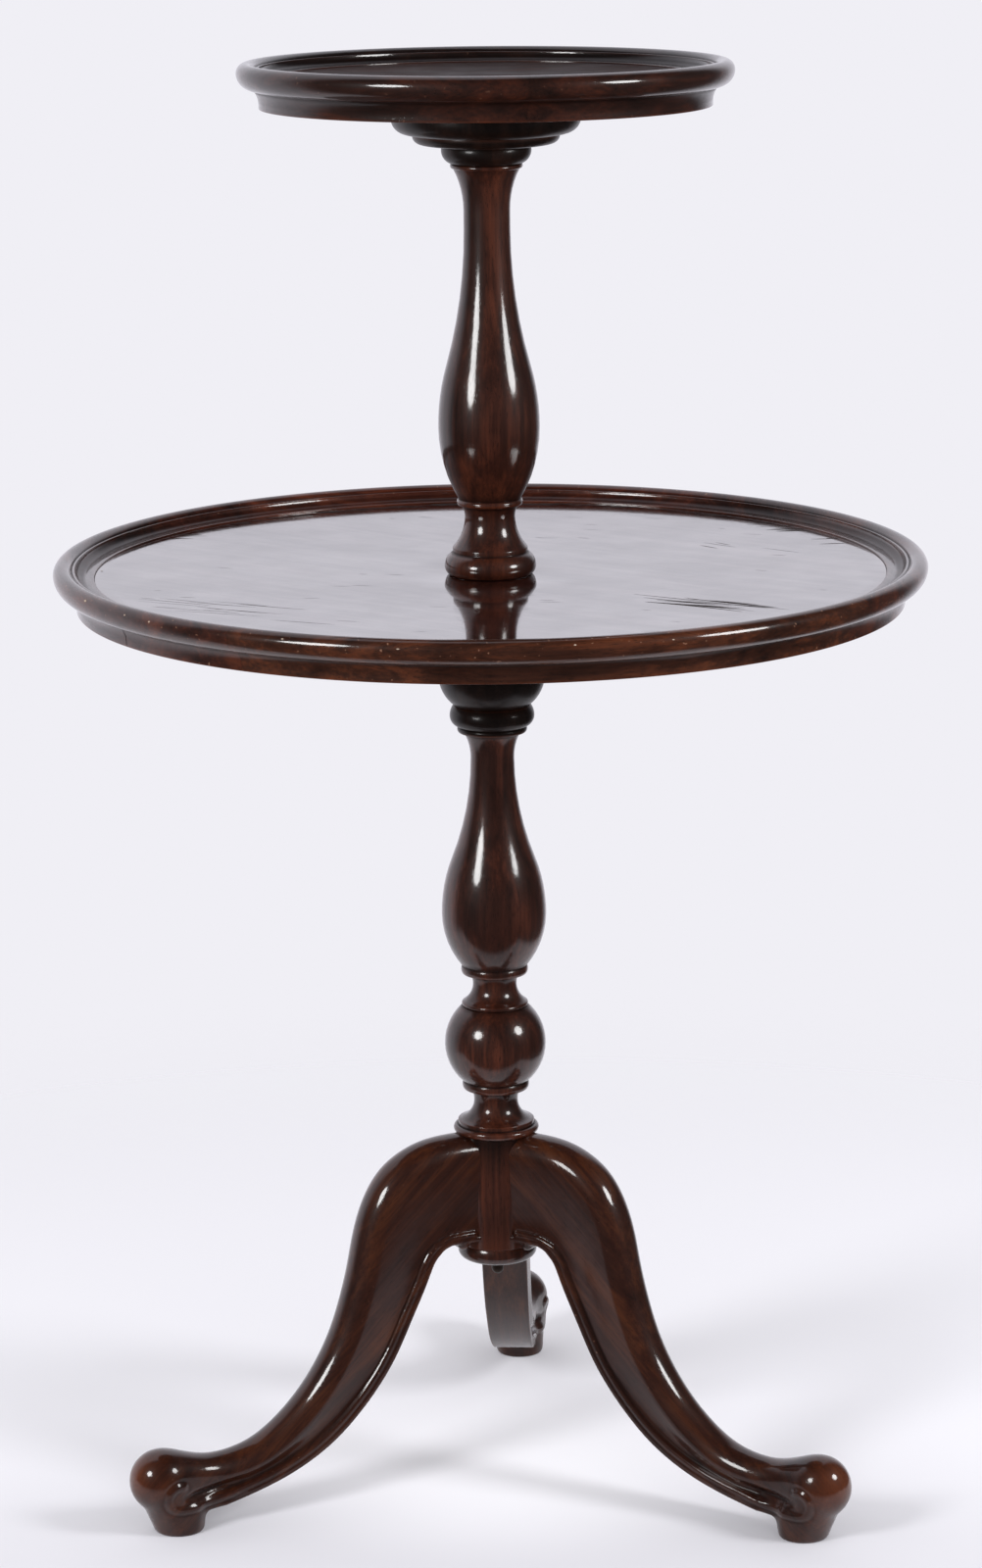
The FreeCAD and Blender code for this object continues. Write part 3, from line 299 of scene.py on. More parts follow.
# Dark stain under a clear film: nearly black in the shade, red-brown beside each long highlight
column_polish = mahogany("turned mahogany, French polished", ("#160906", "#2B130C", "#472215"),
                         UPRIGHT_GRAIN, seed=1.0, film=0.11)
lower_column_outline = (
    (2.25, 160.0, "line"), (25.0, 160.0, "line"), (25.0, 236.0, "line"), (26.6, 236.0, "line"),
    (28.0, 238.5, "to_upright"), (25.0, 241.0, "from_upright"), (25.0, 244.2, "line"),
    (14.35, 257.22, "to_upright"), (16.4, 265.2, "from_upright"), (21.0, 265.2, "line"),
    (21.9, 268.0, "to_upright"), (21.0, 270.8, "from_upright"), (21.6, 270.8, "line"),
    (33.1, 296.15, "to_upright"), (21.6, 321.5, "from_upright"), (20.85, 321.5, "line"),
    (21.75, 323.05, "to_upright"), (20.85, 324.6, "from_upright"), (14.3, 336.26, "to_upright"),
    (16.4, 343.4, "from_upright"), (21.0, 343.4, "line"), (21.9, 346.15, "to_upright"),
    (21.0, 348.9, "from_upright"), (21.3, 348.9, "line"), (34.1, 384.0, "to_upright"),
    (27.04, 420.92, "from_upright"), (14.2, 488.0, "to_upright"), (18.6, 504.8, "from_upright"),
    (21.7, 504.8, "line"), (22.6, 506.8, "to_upright"), (21.7, 508.8, "from_upright"),
    (22.4, 508.8, "line"), (27.4, 515.62, "to_upright"), (24.8, 523.0, "from_upright"),
    (17.0, 523.0, "line"), (17.0, 608.8, "line"), (9.5, 608.8, "line"), (9.5, 652.8, "line"),
    (0.0, 652.8, "line"), (0.0, 181.1, "line"), (2.25, 181.1, "line"))
# Painted shade under the trays: nearly black tones on the hubs, flanges and the columns' top rings, where
# each tray's shade falls, under a thin film that stays dull
under_tray_painted_shade = mahogany("turned mahogany, painted shade under the trays", ("#090403", "#130906", "#20100A"),
                      UPRIGHT_GRAIN, seed=7.0, film=0.2, worn_film=0.6)


def paint_shade_above(mesh, level):
    """The nearly black material with the painted shade of the tray, on all faces of a column above a level.
    """
    mesh.materials.append(under_tray_painted_shade)
    for face in mesh.polygons:
        face.material_index = 1 if face.center.z > level * MM else 0


lower_column_mesh = turned_mesh("pillar_lower", lower_column_outline)
put("pillar_lower", lower_column_mesh, column_polish, "stand", "column_mahogany", "lower_column")
# The top ring under the lower tray is painted with that tray's shade
paint_shade_above(lower_column_mesh, 504.8)

# Upper column: a second turning that stands on the lower one's tenon, through the lower tray.
# It has a foot torus, a cove, a tall vase and a ring, in the same dark polish.
upper_column_outline = (
    (9.55, 608.8, "line"), (26.7, 608.8, "line"), (29.4, 614.34, "to_upright"),
    (24.1, 623.0, "from_upright"), (24.1, 626.0, "line"), (16.1, 646.08, "to_upright"),
    (18.5, 653.5, "from_upright"), (20.2, 653.5, "line"), (21.1, 655.5, "to_upright"),
    (20.2, 657.5, "from_upright"), (19.9, 657.5, "line"), (32.44, 704.0, "to_upright"),
    (26.98, 743.06, "from_upright"), (14.84, 830.0, "to_upright"), (14.84, 842.0, "line"),
    (21.3, 868.4, "from_upright"), (22.15, 868.4, "line"), (23.05, 869.9, "to_upright"),
    (22.15, 871.4, "from_upright"), (22.7, 871.4, "line"), (28.55, 879.72, "to_upright"),
    (27.6, 884.0, "from_upright"), (11.0, 884.0, "line"), (11.0, 905.0, "line"),
    (0.0, 905.0, "line"), (0.0, 653.8, "line"), (9.55, 653.8, "line"))
upper_column_mesh = turned_mesh("pillar_upper", upper_column_outline)
put("pillar_upper", upper_column_mesh, column_polish, "stand", "column_mahogany", "upper_column")
# The top ring under the upper tray is painted with that tray's shade
paint_shade_above(upper_column_mesh, 871.4)

# Base disc: a small turned disc under the block that hides the ends of the dovetails,
# held by one tall round-headed iron screw.
base_disc_outline = (
    (2.25, 149.0, "line"), (20.3, 149.0, "line"), (26.0, 154.7, "to_upright"),
    (24.4, 160.0, "from_upright"), (2.25, 160.0, "line"))
put("foot_disc", turned_mesh("foot_disc", base_disc_outline), column_polish,
    "stand", "column_mahogany", "base_disc")


def dark_iron(name):
    """Old iron with a brown-black oxide skin, dull with a faint rub."""
    material, tree = bare_material(name)
    spot = add_node(tree, "ShaderNodeTexCoord").outputs["Object"]
    rust = noise(tree, spot, 900.0, 4.0)
    skin = add_node(tree, "ShaderNodeValToRGB", Fac=rust)
    skin.color_ramp.elements[0].color = linear("#16120F")
    skin.color_ramp.elements[1].color = linear("#3A2A20")
    bump = add_node(tree, "ShaderNodeBump", Height=rust, Strength=0.4, Distance=0.2 * MM).outputs[0]
    shader = add_node(tree, "ShaderNodeBsdfPrincipled", Base_Color=skin.outputs[0], Metallic=0.7,
                      Roughness=0.5, Normal=bump)
    add_node(tree, "ShaderNodeOutputMaterial", Surface=shader.outputs[0])
    return material


screw_iron = dark_iron("dark iron, oxidised")
for screw in ("base_disc_screw", "lower_flange_screws", "upper_flange_screws"):
    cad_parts[screw].data.materials.clear()
    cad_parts[screw].data.materials.append(screw_iron)

# Legs: three cabriole legs sawn from thick mahogany plank, then carved. A rounded roll runs
# along the top, the sides are slightly hollow, and a bead follows the lower edge and curls
# into a small volute at the block and a scroll on the foot. Each slides in on a dovetail.
BLOCK_RADIUS = 25.0
LEG_SPAN = 220.0
BLOCK_TOP = 236.0
LEG_ROOT_LEVEL = 165.0
LEG_THICKNESS = 31.0
KNOB = (245.0, 35.5)
KNOB_RADIUS = 21.3
KNOB_SIDE = 20.0
PAD_REACH = 233.0
PAD_SIDE = 17.0
PAD_FLARE_SHARE = 0.09
PAD_FLARE_RISE = 8.0
PAD_LEAN = 4.5
PAD_LEAN_RISE = 24.0
VOLUTE = (31.0, 165.7)
VOLUTE_RADIUS = 4.4
SCROLL = (239.5, 27.5)
SCROLL_RADIUS = 10.8
SCROLL_SIDE = 17.8
BEAD_HEIGHT = 1.6
BEAD_OFF_EDGE = 6.0
BEAD_END = 214.0
CARVE_START = 189.0
RIDGE_HEIGHT = 1.3
RIDGE_REACH = 3.8
GROOVE_DEPTH = 0.5
FLUTE_DEPTH = 2.7
FLUTE_REACH = 2.7
FLUTE_END = 240.0
FOOT_START = 205.0
ROUNDING_STEPS = 120
SOFTENING_STEPS = 7
LEG_VOXEL = 0.65
leg_shares = np.array((
    (-0.050, 1.005, -0.050, 1.004, 1.00, 1.00), (0.077, 1.004, 0.052, 1.006, 1.00, 1.00),
    (0.177, 0.983, 0.077, 1.003, 1.00, 1.00), (0.265, 0.931, 0.095, 0.993, 1.00, 1.00),
    (0.325, 0.848, 0.109, 0.976, 1.00, 1.00), (0.358, 0.759, 0.130, 0.942, 1.00, 1.00),
    (0.380, 0.666, 0.159, 0.856, 1.00, 1.00), (0.407, 0.575, 0.207, 0.725, 0.99, 1.00),
    (0.442, 0.487, 0.263, 0.580, 0.98, 1.00), (0.491, 0.404, 0.339, 0.438, 0.96, 1.00),
    (0.553, 0.329, 0.439, 0.305, 0.94, 1.00), (0.628, 0.265, 0.546, 0.210, 0.91, 1.00),
    (0.716, 0.218, 0.670, 0.142, 0.88, 1.00), (0.815, 0.201, 0.797, 0.096, 0.87, 0.95),
    (0.890, 0.212, 0.891, 0.071, 0.94, 0.70), (0.968, 0.237, 0.977, 0.085, 1.20, 0.10)))
leg_stations = np.column_stack((
    BLOCK_RADIUS + LEG_SPAN * leg_shares[:, 0], BLOCK_TOP * leg_shares[:, 1],
    BLOCK_RADIUS + LEG_SPAN * leg_shares[:, 2], LEG_ROOT_LEVEL * leg_shares[:, 3],
    LEG_THICKNESS / 2 * leg_shares[:, 4], leg_shares[:, 5]))


def smooth_through(values, spots):
    """Values at in-between spots of a natural cubic spline through whole-numbered stations."""
    count = len(values)
    system = np.eye(count) * 4
    system += np.eye(count, k=1) + np.eye(count, k=-1)
    system[0, :2] = (1, 0)
    system[-1, -2:] = (0, 1)
    pull = np.zeros_like(values)
    pull[1:-1] = 6 * (values[2:] - 2 * values[1:-1] + values[:-2])
    bend = np.linalg.solve(system, pull)
    base = np.clip(np.floor(spots).astype(int), 0, count - 2)
    share = (spots - base)[:, None]
    rest = 1 - share
    return (rest * values[base] + share * values[base + 1]
            + (rest ** 3 - rest) * bend[base] / 6 + (share ** 3 - share) * bend[base + 1] / 6)


def leg_half_section(depth, half, relief):
    """Half of the outline across a leg, from the middle of the sole to the middle of the top."""
    band = 3.6
    bead_head = 8.6
    roll_side = max(depth - 13.4, 12.0)
    sole = np.column_stack((np.linspace(0, half - 0.7, 8), np.zeros(8)))
    edge = np.array(((half - 0.2, 0.2), (half, 0.7), (half, band - 0.5), (half - 0.2, band)))
    rise = np.linspace(band + 0.2, roll_side - 0.2, 62)
    share = np.clip((rise - bead_head) / (roll_side - bead_head), 0, 1)
    # Above the bead the side is scooped, most at the slim ankle, and runs out into the roll
    deep = 0.9 + 1.7 * np.clip((44.0 - depth) / 8.0, 0, 1)
    scoop = 1.6 * (1 - share) ** 2 + deep * np.sin(math.pi * share ** 0.6)
    dish = np.column_stack((half - relief * scoop, rise))
    turn = np.linspace(0, math.pi / 2, 26)[1:]
    roll = np.column_stack((half * np.cos(turn), roll_side + (depth - roll_side) * np.sin(turn)))
    carved = np.vstack((sole, edge, dish, roll))
    lean = np.radians(np.concatenate((np.linspace(-90, -62, 12), np.linspace(-60, 18, 62),
                                      np.linspace(18, 90, 26)[1:])))
    plain = np.column_stack((half * np.cos(lean), depth / 2 * (1 + np.sin(lean))))
    return relief * carved + (1 - relief) * plain


def curve_distance(spots, line):
    """Distance of each spot from a line of points in the plane of the leg."""
    start, step = line[:-1], np.diff(line, axis=0)
    length = np.maximum(np.sum(step ** 2, axis=1), 1e-9)
    reach = spots[:, None] - start[None]
    share = np.clip(np.sum(reach * step, axis=2) / length, 0, 1)
    return np.min(np.linalg.norm(reach - share[..., None] * step, axis=2), axis=1)


def leg_sweep():
    """The leg along +X from inside the block to inside the toe, the bead carved along its sides."""
    spots = np.linspace(0, len(leg_stations) - 1, 300)
    flow = smooth_through(leg_stations, spots)
    flow[:, 5] = np.clip(flow[:, 5], 0, 1)
    ridge, low = flow[:, 0:2], flow[:, 2:4]
    upward = (ridge - low) / np.linalg.norm(ridge - low, axis=1, keepdims=True)
    tangent = np.gradient(low, axis=0)
    tangent /= np.linalg.norm(tangent, axis=1, keepdims=True)
    normal = np.column_stack((-tangent[:, 1], tangent[:, 0]))
    # The bead's middle line stands off the lower edge and runs level into the block over the volute
    root = np.array(((24.0, 171.2), (33.0, 171.2), (40.0, 170.8), (45.0, 169.6)))
    bead_line = np.vstack((root, (low + normal * BEAD_OFF_EDGE)[(low[:, 0] > 47.5) & (spots < 14.2)]))
    rows = []
    for top, bottom, out, (half, relief) in zip(ridge, low, upward, flow[:, 4:6]):
        outline = leg_half_section(np.linalg.norm(top - bottom), half, relief)
        spot = bottom + outline[:, 1:] * out
        rows.append(np.column_stack((spot[:, 0], outline[:, 0], spot[:, 1])))
    rows = np.array(rows)
    off = curve_distance(rows[:, :, (0, 2)].reshape(-1, 2), bead_line).reshape(rows.shape[:2])
    carved = np.zeros(rows.shape[1])
    carved[12:64] = 1.0
    # Near the foot the bead broadens into the scroll, which is cut later
    broad = 2.2 + 1.3 * np.clip((rows[:, :, 0] - 185.0) / 28.0, 0, 1)
    fade = np.clip((BEAD_END - rows[:, :, 0]) / 14.0, 0, 1) * carved
    rows[:, :, 1] += BEAD_HEIGHT * np.sqrt(np.clip(1 - (off / broad) ** 2, 0, 1)) * fade
    rows[:, :, 1] -= 0.5 * np.exp(-((off - broad - 0.5) / 0.6) ** 2) * fade
    return np.concatenate((rows, rows[:, 1:-1][:, ::-1] * np.array((1, -1, 1))), axis=1)


def round_bar(name, radius, half_length, centre):
    """A round bar across the leg with domed ends, the end of a scroll."""
    dome = ((0.0, 0.0), (radius * 0.5, 0.3), (radius - 1.0, 1.0), (radius, 2.0))
    outline = [(reach, inset - half_length, "line") for reach, inset in dome]
    outline += [(reach, half_length - inset, "line") for reach, inset in reversed(dome)]
    mesh = turned_mesh(name, outline, steps=72)
    place = Matrix.Translation((centre[0] * MM, 0, centre[1] * MM))
    mesh.transform(place @ Matrix.Rotation(math.pi / 2, 4, "X"))
    return mesh


def rough_leg(name):
    """The meshes that a leg is made of: the sweep, volute, scroll, toe knob and turned pad."""
    sweep = leg_sweep()
    ring = np.arange(sweep.shape[1])
    rough = [grid_mesh(name, sweep, np.zeros(sweep.shape[:2]), True, False,
                       (ring, (ring + (len(sweep) - 1) * len(ring))[::-1]))]
    rough.append(round_bar(name, VOLUTE_RADIUS, LEG_THICKNESS / 2 - 0.1, VOLUTE))
    rough.append(round_bar(name, SCROLL_RADIUS, SCROLL_SIDE, SCROLL))
    turns = np.radians(np.linspace(-90, 90, 49))
    ball = [(KNOB_RADIUS * math.cos(a), KNOB_RADIUS * math.sin(a), "line") for a in turns]
    knob = turned_mesh(name, ball, steps=96)
    place = Matrix.Translation((KNOB[0] * MM, 0, KNOB[1] * MM))
    knob.transform(place @ Matrix.Diagonal((1, KNOB_SIDE / KNOB_RADIUS, 1, 1)))
    rough.append(knob)
    pad_line = ((0.0, 0.0), (15.6, 0.0), (16.4, 0.8), (16.8, 3.0), (17.5, 7.0), (18.3, 11.0), (19.1, 15.0),
                (19.6, 19.0), (19.2, 24.0), (16.0, 30.0), (0.0, 32.0))
    pad = turned_mesh(name, [(*corner, "line") for corner in pad_line], steps=96)
    # The pad flares up into the knob, but stays behind the face of the scroll
    for corner in pad.vertices:
        rise = corner.co.z / MM
        flare = PAD_FLARE_SHARE * min(rise / PAD_FLARE_RISE, 1.0) if corner.co.x > 0 else 0.0
        corner.co.x *= 1.0 + flare
        corner.co.x += (PAD_REACH + PAD_LEAN * (rise / PAD_LEAN_RISE) ** 2) * MM
        corner.co.y = max(-PAD_SIDE * MM, min(PAD_SIDE * MM, corner.co.y))
    rough.append(pad)
    return rough


def carved_leg(name):
    """One leg, its rough pieces run together, smoothed as by the file, and its scroll cut."""
    corners, faces = [], []
    for mesh in rough_leg(name):
        faces += [[spot + len(corners) for spot in face.vertices] for face in mesh.polygons]
        corners += [corner.co.copy() for corner in mesh.vertices]
    joined = bpy.data.meshes.new(name + "_rough")
    joined.from_pydata(corners, [], faces)
    block = bpy.data.objects.new(name + "_rough", joined)
    bpy.context.scene.collection.objects.link(block)
    merge = block.modifiers.new("merge", "REMESH")
    merge.mode = "VOXEL"
    merge.voxel_size = LEG_VOXEL * MM
    file_off = block.modifiers.new("file_off", "SMOOTH")
    file_off.factor = 0.5
    file_off.iterations = 4
    form = bpy.data.meshes.new_from_object(block.evaluated_get(bpy.context.evaluated_depsgraph_get()))
    bpy.data.objects.remove(block)
    count = len(form.vertices)
    spots, outward = np.empty(count * 3), np.empty(count * 3)
    edges = np.empty(len(form.edges) * 2, dtype=np.int32)
    form.vertices.foreach_get("co", spots)
    form.edges.foreach_get("vertices", edges)
    spots, edges = spots.reshape(-1, 3) / MM, edges.reshape(-1, 2)
    ends, others = edges.ravel(), edges[:, ::-1].ravel()
    share = np.maximum(np.bincount(ends, minlength=count), 1)[:, None]

    def evened(places):
        return np.column_stack([np.bincount(ends, places[others, axis], count) for axis in range(3)]) / share

    # The foot is rounded over where knob, scroll and pad meet
    foot = np.clip((spots[:, :1] - FOOT_START) / 15.0, 0, 1) * np.clip(spots[:, 2:] / 6.0, 0, 1)
    for step in range(ROUNDING_STEPS):
        spots = spots + 0.6 * foot * (evened(spots) - spots)
    # Then the broad end of the bead is cut round the scroll, and a gouge is run down to its eye
    curl = np.array(((CARVE_START, 25.5), (200.0, 22.7), (210.5, 20.7), (221.0, 19.2), (231.0, 18.4),
                     (239.5, 18.7), (245.0, 21.6), (247.2, 27.0), (245.6, 32.2), (241.0, 35.0),
                     (236.5, 34.4)))
    curl = smooth_through(curl, np.linspace(0, len(curl) - 1, 90))
    gouge = np.array(((CARVE_START, 32.0), (199.5, 29.6), (210.0, 27.9), (223.0, 27.0), (235.5, 26.6)))
    gouge = smooth_through(gouge, np.linspace(0, len(gouge) - 1, 40))
    near = np.flatnonzero((np.abs(spots[:, 1]) > 8.0) & (spots[:, 0] > CARVE_START))
    flat = spots[near][:, (0, 2)]
    off = curve_distance(flat, curl)
    outer = np.clip((np.hypot(flat[:, 0] - SCROLL[0], flat[:, 1] - SCROLL[1]) - 7.0) / 2.0, 0, 1)
    ridge = RIDGE_HEIGHT * np.cos(math.pi / 2 * np.clip(off / RIDGE_REACH, 0, 1)) ** 2
    groove = GROOVE_DEPTH * outer * np.exp(-((off - RIDGE_REACH - 0.1) / 0.8) ** 2)
    runs_out = np.clip((FLUTE_END - flat[:, 0]) / 12.0, 0, 1)
    flute = FLUTE_DEPTH * np.exp(-(curve_distance(flat, gouge) / FLUTE_REACH) ** 2) * runs_out
    runs_in = np.clip((flat[:, 0] - CARVE_START) / 20.0, 0, 1)
    spots[near, 1] += np.sign(spots[near, 1]) * (ridge - groove - flute) * runs_in
    for step in range(SOFTENING_STEPS):
        spots = spots + 0.5 * foot * (evened(spots) - spots)
    form.vertices.foreach_set("co", (spots * MM).ravel())
    form.update()
    form.vertices.foreach_get("normal", outward)
    softened = spots
    for step in range(12):
        softened = evened(softened)
    hollow = np.sum((softened - spots) * outward.reshape(-1, 3), axis=1)
    form.attributes.new("hollow", "FLOAT", "POINT").data.foreach_set("value", hollow.astype(np.float32))
    form.shade_smooth()
    return form


LEG_GRAIN = (0.0, 42.0, 0.0)
# A glossy, rounded top with bright lamp spots, duller flat sides, and toes rubbed to a warm brown
leg_polish = mahogany("carved mahogany, French polished", ("#1B0B07", "#2B130B", "#41200F"),
                      LEG_GRAIN, seed=4.0, film=0.09, nicks=0.4, toe_wear=0.3, unrubbed=0.4)
leg_form = carved_leg("leg")
leg_form.materials.clear()
leg_form.materials.append(leg_polish)
for leg, angle in (("leg_back", 89.6), ("leg_left", 210.0), ("leg_right", 330.3)):
    piece = bpy.data.objects.new(f"{leg}_cabriole", leg_form)
    bpy.context.scene.collection.objects.link(piece)
    piece.matrix_world = Matrix.Rotation(math.radians(angle), 4, "Z")
    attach(piece, "stand")
    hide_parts(leg)

# Lower hub and flange: a cup that turns on the spindle, glued up into a stepped disc that is
# screwed under the lower board. Turned mahogany, polished only where it shows.
lower_hub_outline = (
    (17.05, 523.06, "line"), (24.8, 523.06, "line"), (34.6, 543.0, "to_upright"), (34.6, 549.0, "line"),
    (31.0, 549.0, "line"), (31.0, 552.0, "line"), (39.0, 560.0, "from_upright"), (27.0, 560.0, "line"),
    (27.0, 591.6, "line"), (17.05, 591.6, "line"))
# The lower hub and flange take the nearly black material that paints the lower tray's shade on them
put("lower_tray_hub", turned_mesh("lower_tray_hub", lower_hub_outline), under_tray_painted_shade,
    "lower_tier", "hub_mahogany", "lower_hub")
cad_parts["lower_flange"].data.materials.clear()
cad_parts["lower_flange"].data.materials.append(under_tray_painted_shade)

# Lower board: one wide mahogany board turned flat, its tongue let into the rim.
# The polish is worn and the grain shows in the gloss; with age the face has cupped a little.
BOARD_RISE = 2.3
BOARD_FLAT_SHARE = 0.25
LOWER_EDGE = 253.6
LOWER_BASE = 591.6
LOWER_TOP = 608.5
LOWER_GRAIN = (0.0, 0.0, -35.0)
board_polish = mahogany("flat mahogany board, French polish", ("#170B0A", "#281413", "#3A1F1B"),
                        LOWER_GRAIN, seed=11.0, film=0.03, under_gloss=0.6, under_rough=0.06,
                        relief_depth=0.08, smears=0.16)


def board_outline(hole, edge, base, top, tongue, tongue_low, tongue_high):
    """Half section of a round board with a tongue, its face risen a little towards the rim."""
    flat = BOARD_FLAT_SHARE * edge
    face = [(flat + (edge - flat) * share, top + BOARD_RISE * share ** 2, "line")
            for share in np.linspace(1, 0, 25)]
    return ((hole, base, "line"), (edge, base, "line"), (edge, tongue_low, "line"),
            (tongue, tongue_low, "line"), (tongue, tongue_high, "line"), (edge, tongue_high, "line"),
            *face, (hole, top, "line"))


lower_board_outline = board_outline(17.05, LOWER_EDGE, LOWER_BASE, LOWER_TOP, 259.4, 597.6, 602.5)
lower_board_mesh = turned_mesh("lower_tray_board", lower_board_outline)
put("lower_tray_board", lower_board_mesh, board_polish, "lower_tier", "tray_mahogany", "lower_board")
# Underneath the board is planed and oiled, never polished
underside = mahogany("mahogany board underside, oiled", ("#1E0F0A", "#301911", "#45261A"),
                     LOWER_GRAIN, seed=11.0, film=0.4, under_gloss=0.1, under_rough=0.5, worn_film=0.9)
lower_board_mesh.materials.append(underside)
for face in lower_board_mesh.polygons:
    face.material_index = 1 if face.normal.z < -0.5 else 0

# Scuffs: thin dull strokes where things were dragged over the lower tray, along the wear through
# the polish. They are slivers a few hundredths of a millimetre proud, so they take no gloss.
SCUFF_LIFT = 0.03
UPWARD = (0.0, 0.0, 1.0)


def about(radius, angle, level):
    """The place at a radius and an angle round the axis."""
    return radius * math.cos(math.radians(angle)), radius * math.sin(math.radians(angle)), level


def strokes_mesh(name, strokes):
    """Slivers pointed at both ends, each from a line of points, a width and the way it faces."""
    corners, faces = [], []
    for line, width, outward in strokes:
        line = np.asarray(line, dtype=float)
        along = np.gradient(line, axis=0)
        side = np.cross(np.broadcast_to(outward, line.shape), along)
        side /= np.linalg.norm(side, axis=1, keepdims=True)
        half = width / 2 * np.sin(np.linspace(0.04, 0.96, len(line)) * math.pi)[:, None]
        left = np.arange(len(corners), len(corners) + len(line))
        right = left + len(line)
        corners += list((line + side * half) * MM) + list((line - side * half) * MM)
        faces += np.column_stack((right[:-1], right[1:], left[1:], left[:-1])).tolist()
    mesh = bpy.data.meshes.new(name)
    mesh.from_pydata([tuple(corner) for corner in corners], [], faces)
    mesh.update()
    return mesh


def dull_mark(name, colour):
    """A mark with no polish left: matt, and slightly uneven in tone."""
    material, tree = bare_material(name)
    spot = add_node(tree, "ShaderNodeTexCoord").outputs["Object"]
    grit = noise(tree, spot, 600.0, 2.0)
    shade = mixed(tree, grit, linear(colour), linear("#2A1710"))
    shader = add_node(tree, "ShaderNodeBsdfPrincipled", Base_Color=shade, Roughness=0.75,
                      Specular_IOR_Level=0.2)
    add_node(tree, "ShaderNodeOutputMaterial", Surface=shader.outputs[0])
    return material


def board_face(spots):
    """The level of the risen face of the lower board at each spot."""
    reach = np.hypot(spots[:, 0], spots[:, 1]) / LOWER_EDGE
    share = np.clip((reach - BOARD_FLAT_SHARE) / (1 - BOARD_FLAT_SHARE), 0, 1)
    return LOWER_TOP + BOARD_RISE * share ** 2


chance = np.random.default_rng(7)
scuffs = []
for middle, run, spread_across, count, heading, longest, widest in (
        ((146.0, -108.0), 30.0, 11.0, 15, -27.0, 78.0, 2.4),
        ((-138.0, -136.0), 60.0, 26.0, 14, -18.0, 60.0, 0.8),
        ((165.0, 84.0), 26.0, 12.0, 4, -40.0, 34.0, 1.6),
        ((-95.0, -41.0), 18.0, 4.0, 2, -8.0, 16.0, 1.0)):
    forward = np.array(about(1.0, heading, 0.0))
    across = np.array((-forward[1], forward[0], 0.0))
    for stroke in range(count):
        start = np.array((*middle, 0.0)) + forward * chance.uniform(-run, run)
        start += across * chance.uniform(-spread_across, spread_across)
        reach = np.linspace(-0.5, 0.5, 13)[:, None] * chance.uniform(0.3, 1.0) * longest
        bow = chance.uniform(-0.03, 0.03)
        tilt = chance.uniform(-0.12, 0.06)
        line = start + reach * (forward + across * tilt) + across * bow * reach ** 2 / 10
        line[:, 2] = board_face(line) + SCUFF_LIFT
        scuffs.append((line, chance.uniform(0.3, 1.0) * widest, UPWARD))
# Old wax lies in a ragged line along the back of the rim, and short drags are all over the face
drags = [(chance.uniform(18.0, 162.0), chance.uniform(243.0, 251.5), chance.uniform(10.0, 34.0),
          chance.uniform(1.0, 2.6), 3.4) for drag in range(90)]
drags += [(chance.uniform(0.0, 360.0), 235.0 * math.sqrt(chance.uniform(0.05, 1.0)),
           chance.uniform(4.0, 16.0), chance.uniform(0.25, 0.5), chance.uniform(-25.0, 10.0))
          for drag in range(36)]
for angle, radius, length, width, heading in drags:
    middle = np.array(about(radius, angle, 0.0))
    forward = np.array(about(1.0, heading, 0.0))
    line = middle + np.linspace(-0.5, 0.5, 9)[:, None] * length * forward
    line = line[np.hypot(line[:, 0], line[:, 1]) < LOWER_EDGE - 0.8]
    if len(line) > 3:
        line[:, 2] = board_face(line) + SCUFF_LIFT
        scuffs.append((line, width, UPWARD))
put("lower_tray_scuffs", strokes_mesh("lower_tray_scuffs", scuffs),
    dull_mark("bare scuffed wood, matt", "#1A0D08"), "lower_tier", "tray_mahogany")

# Upper board: the same kind of board, smaller. The upper tray sits a little out of level on its
# worn hub, lower at the back, so its board and rim lean together.
UPPER_EDGE = 130.3
UPPER_BASE = 907.9
UPPER_SINK = 0.8
LEAN_BACK = math.radians(-1.25)
upper_lean = (Matrix.Translation((0, 0, (UPPER_BASE - UPPER_SINK) * MM)) @ Matrix.Rotation(LEAN_BACK, 4, "X")
              @ Matrix.Translation((0, 0, -UPPER_BASE * MM)))
upper_board_outline = board_outline(0.0, UPPER_EDGE, UPPER_BASE, 924.9, 136.1, 913.9, 918.9)
upper_board_mesh = turned_mesh("upper_tray_board", upper_board_outline)
upper_board_mesh.transform(upper_lean)
upper_board_polish = mahogany("flat mahogany board, polish worn dull", ("#160A07", "#26120D", "#3A1D14"),
                              (0.0, 0.0, 20.0), seed=12.0, film=0.2, under_gloss=0.03, under_rough=0.45,
                              worn_film=0.92)
put("upper_tray_board", upper_board_mesh, upper_board_polish, "upper_tier", "tray_mahogany", "upper_board")

# Rims: each tray has a moulded rim in four curved lengths, with a bead, quirk and cove above
# and a cavetto below, glued over the board's tongue. The lengths were cut from different stock,
# so under the same gloss some look red, some brown and some nearly black.
RIM_GAP = 0.01
dark_tones = ("#160805", "#2C120A", "#48200F")
brown_tones = ("#180905", "#31170C", "#522813")
red_tones = ("#1B0905", "#3A170C", "#5C2814")
black_tones = ("#0A0403", "#140806", "#221009")
umber_tones = ("#0F0604", "#1F0D08", "#36170C")


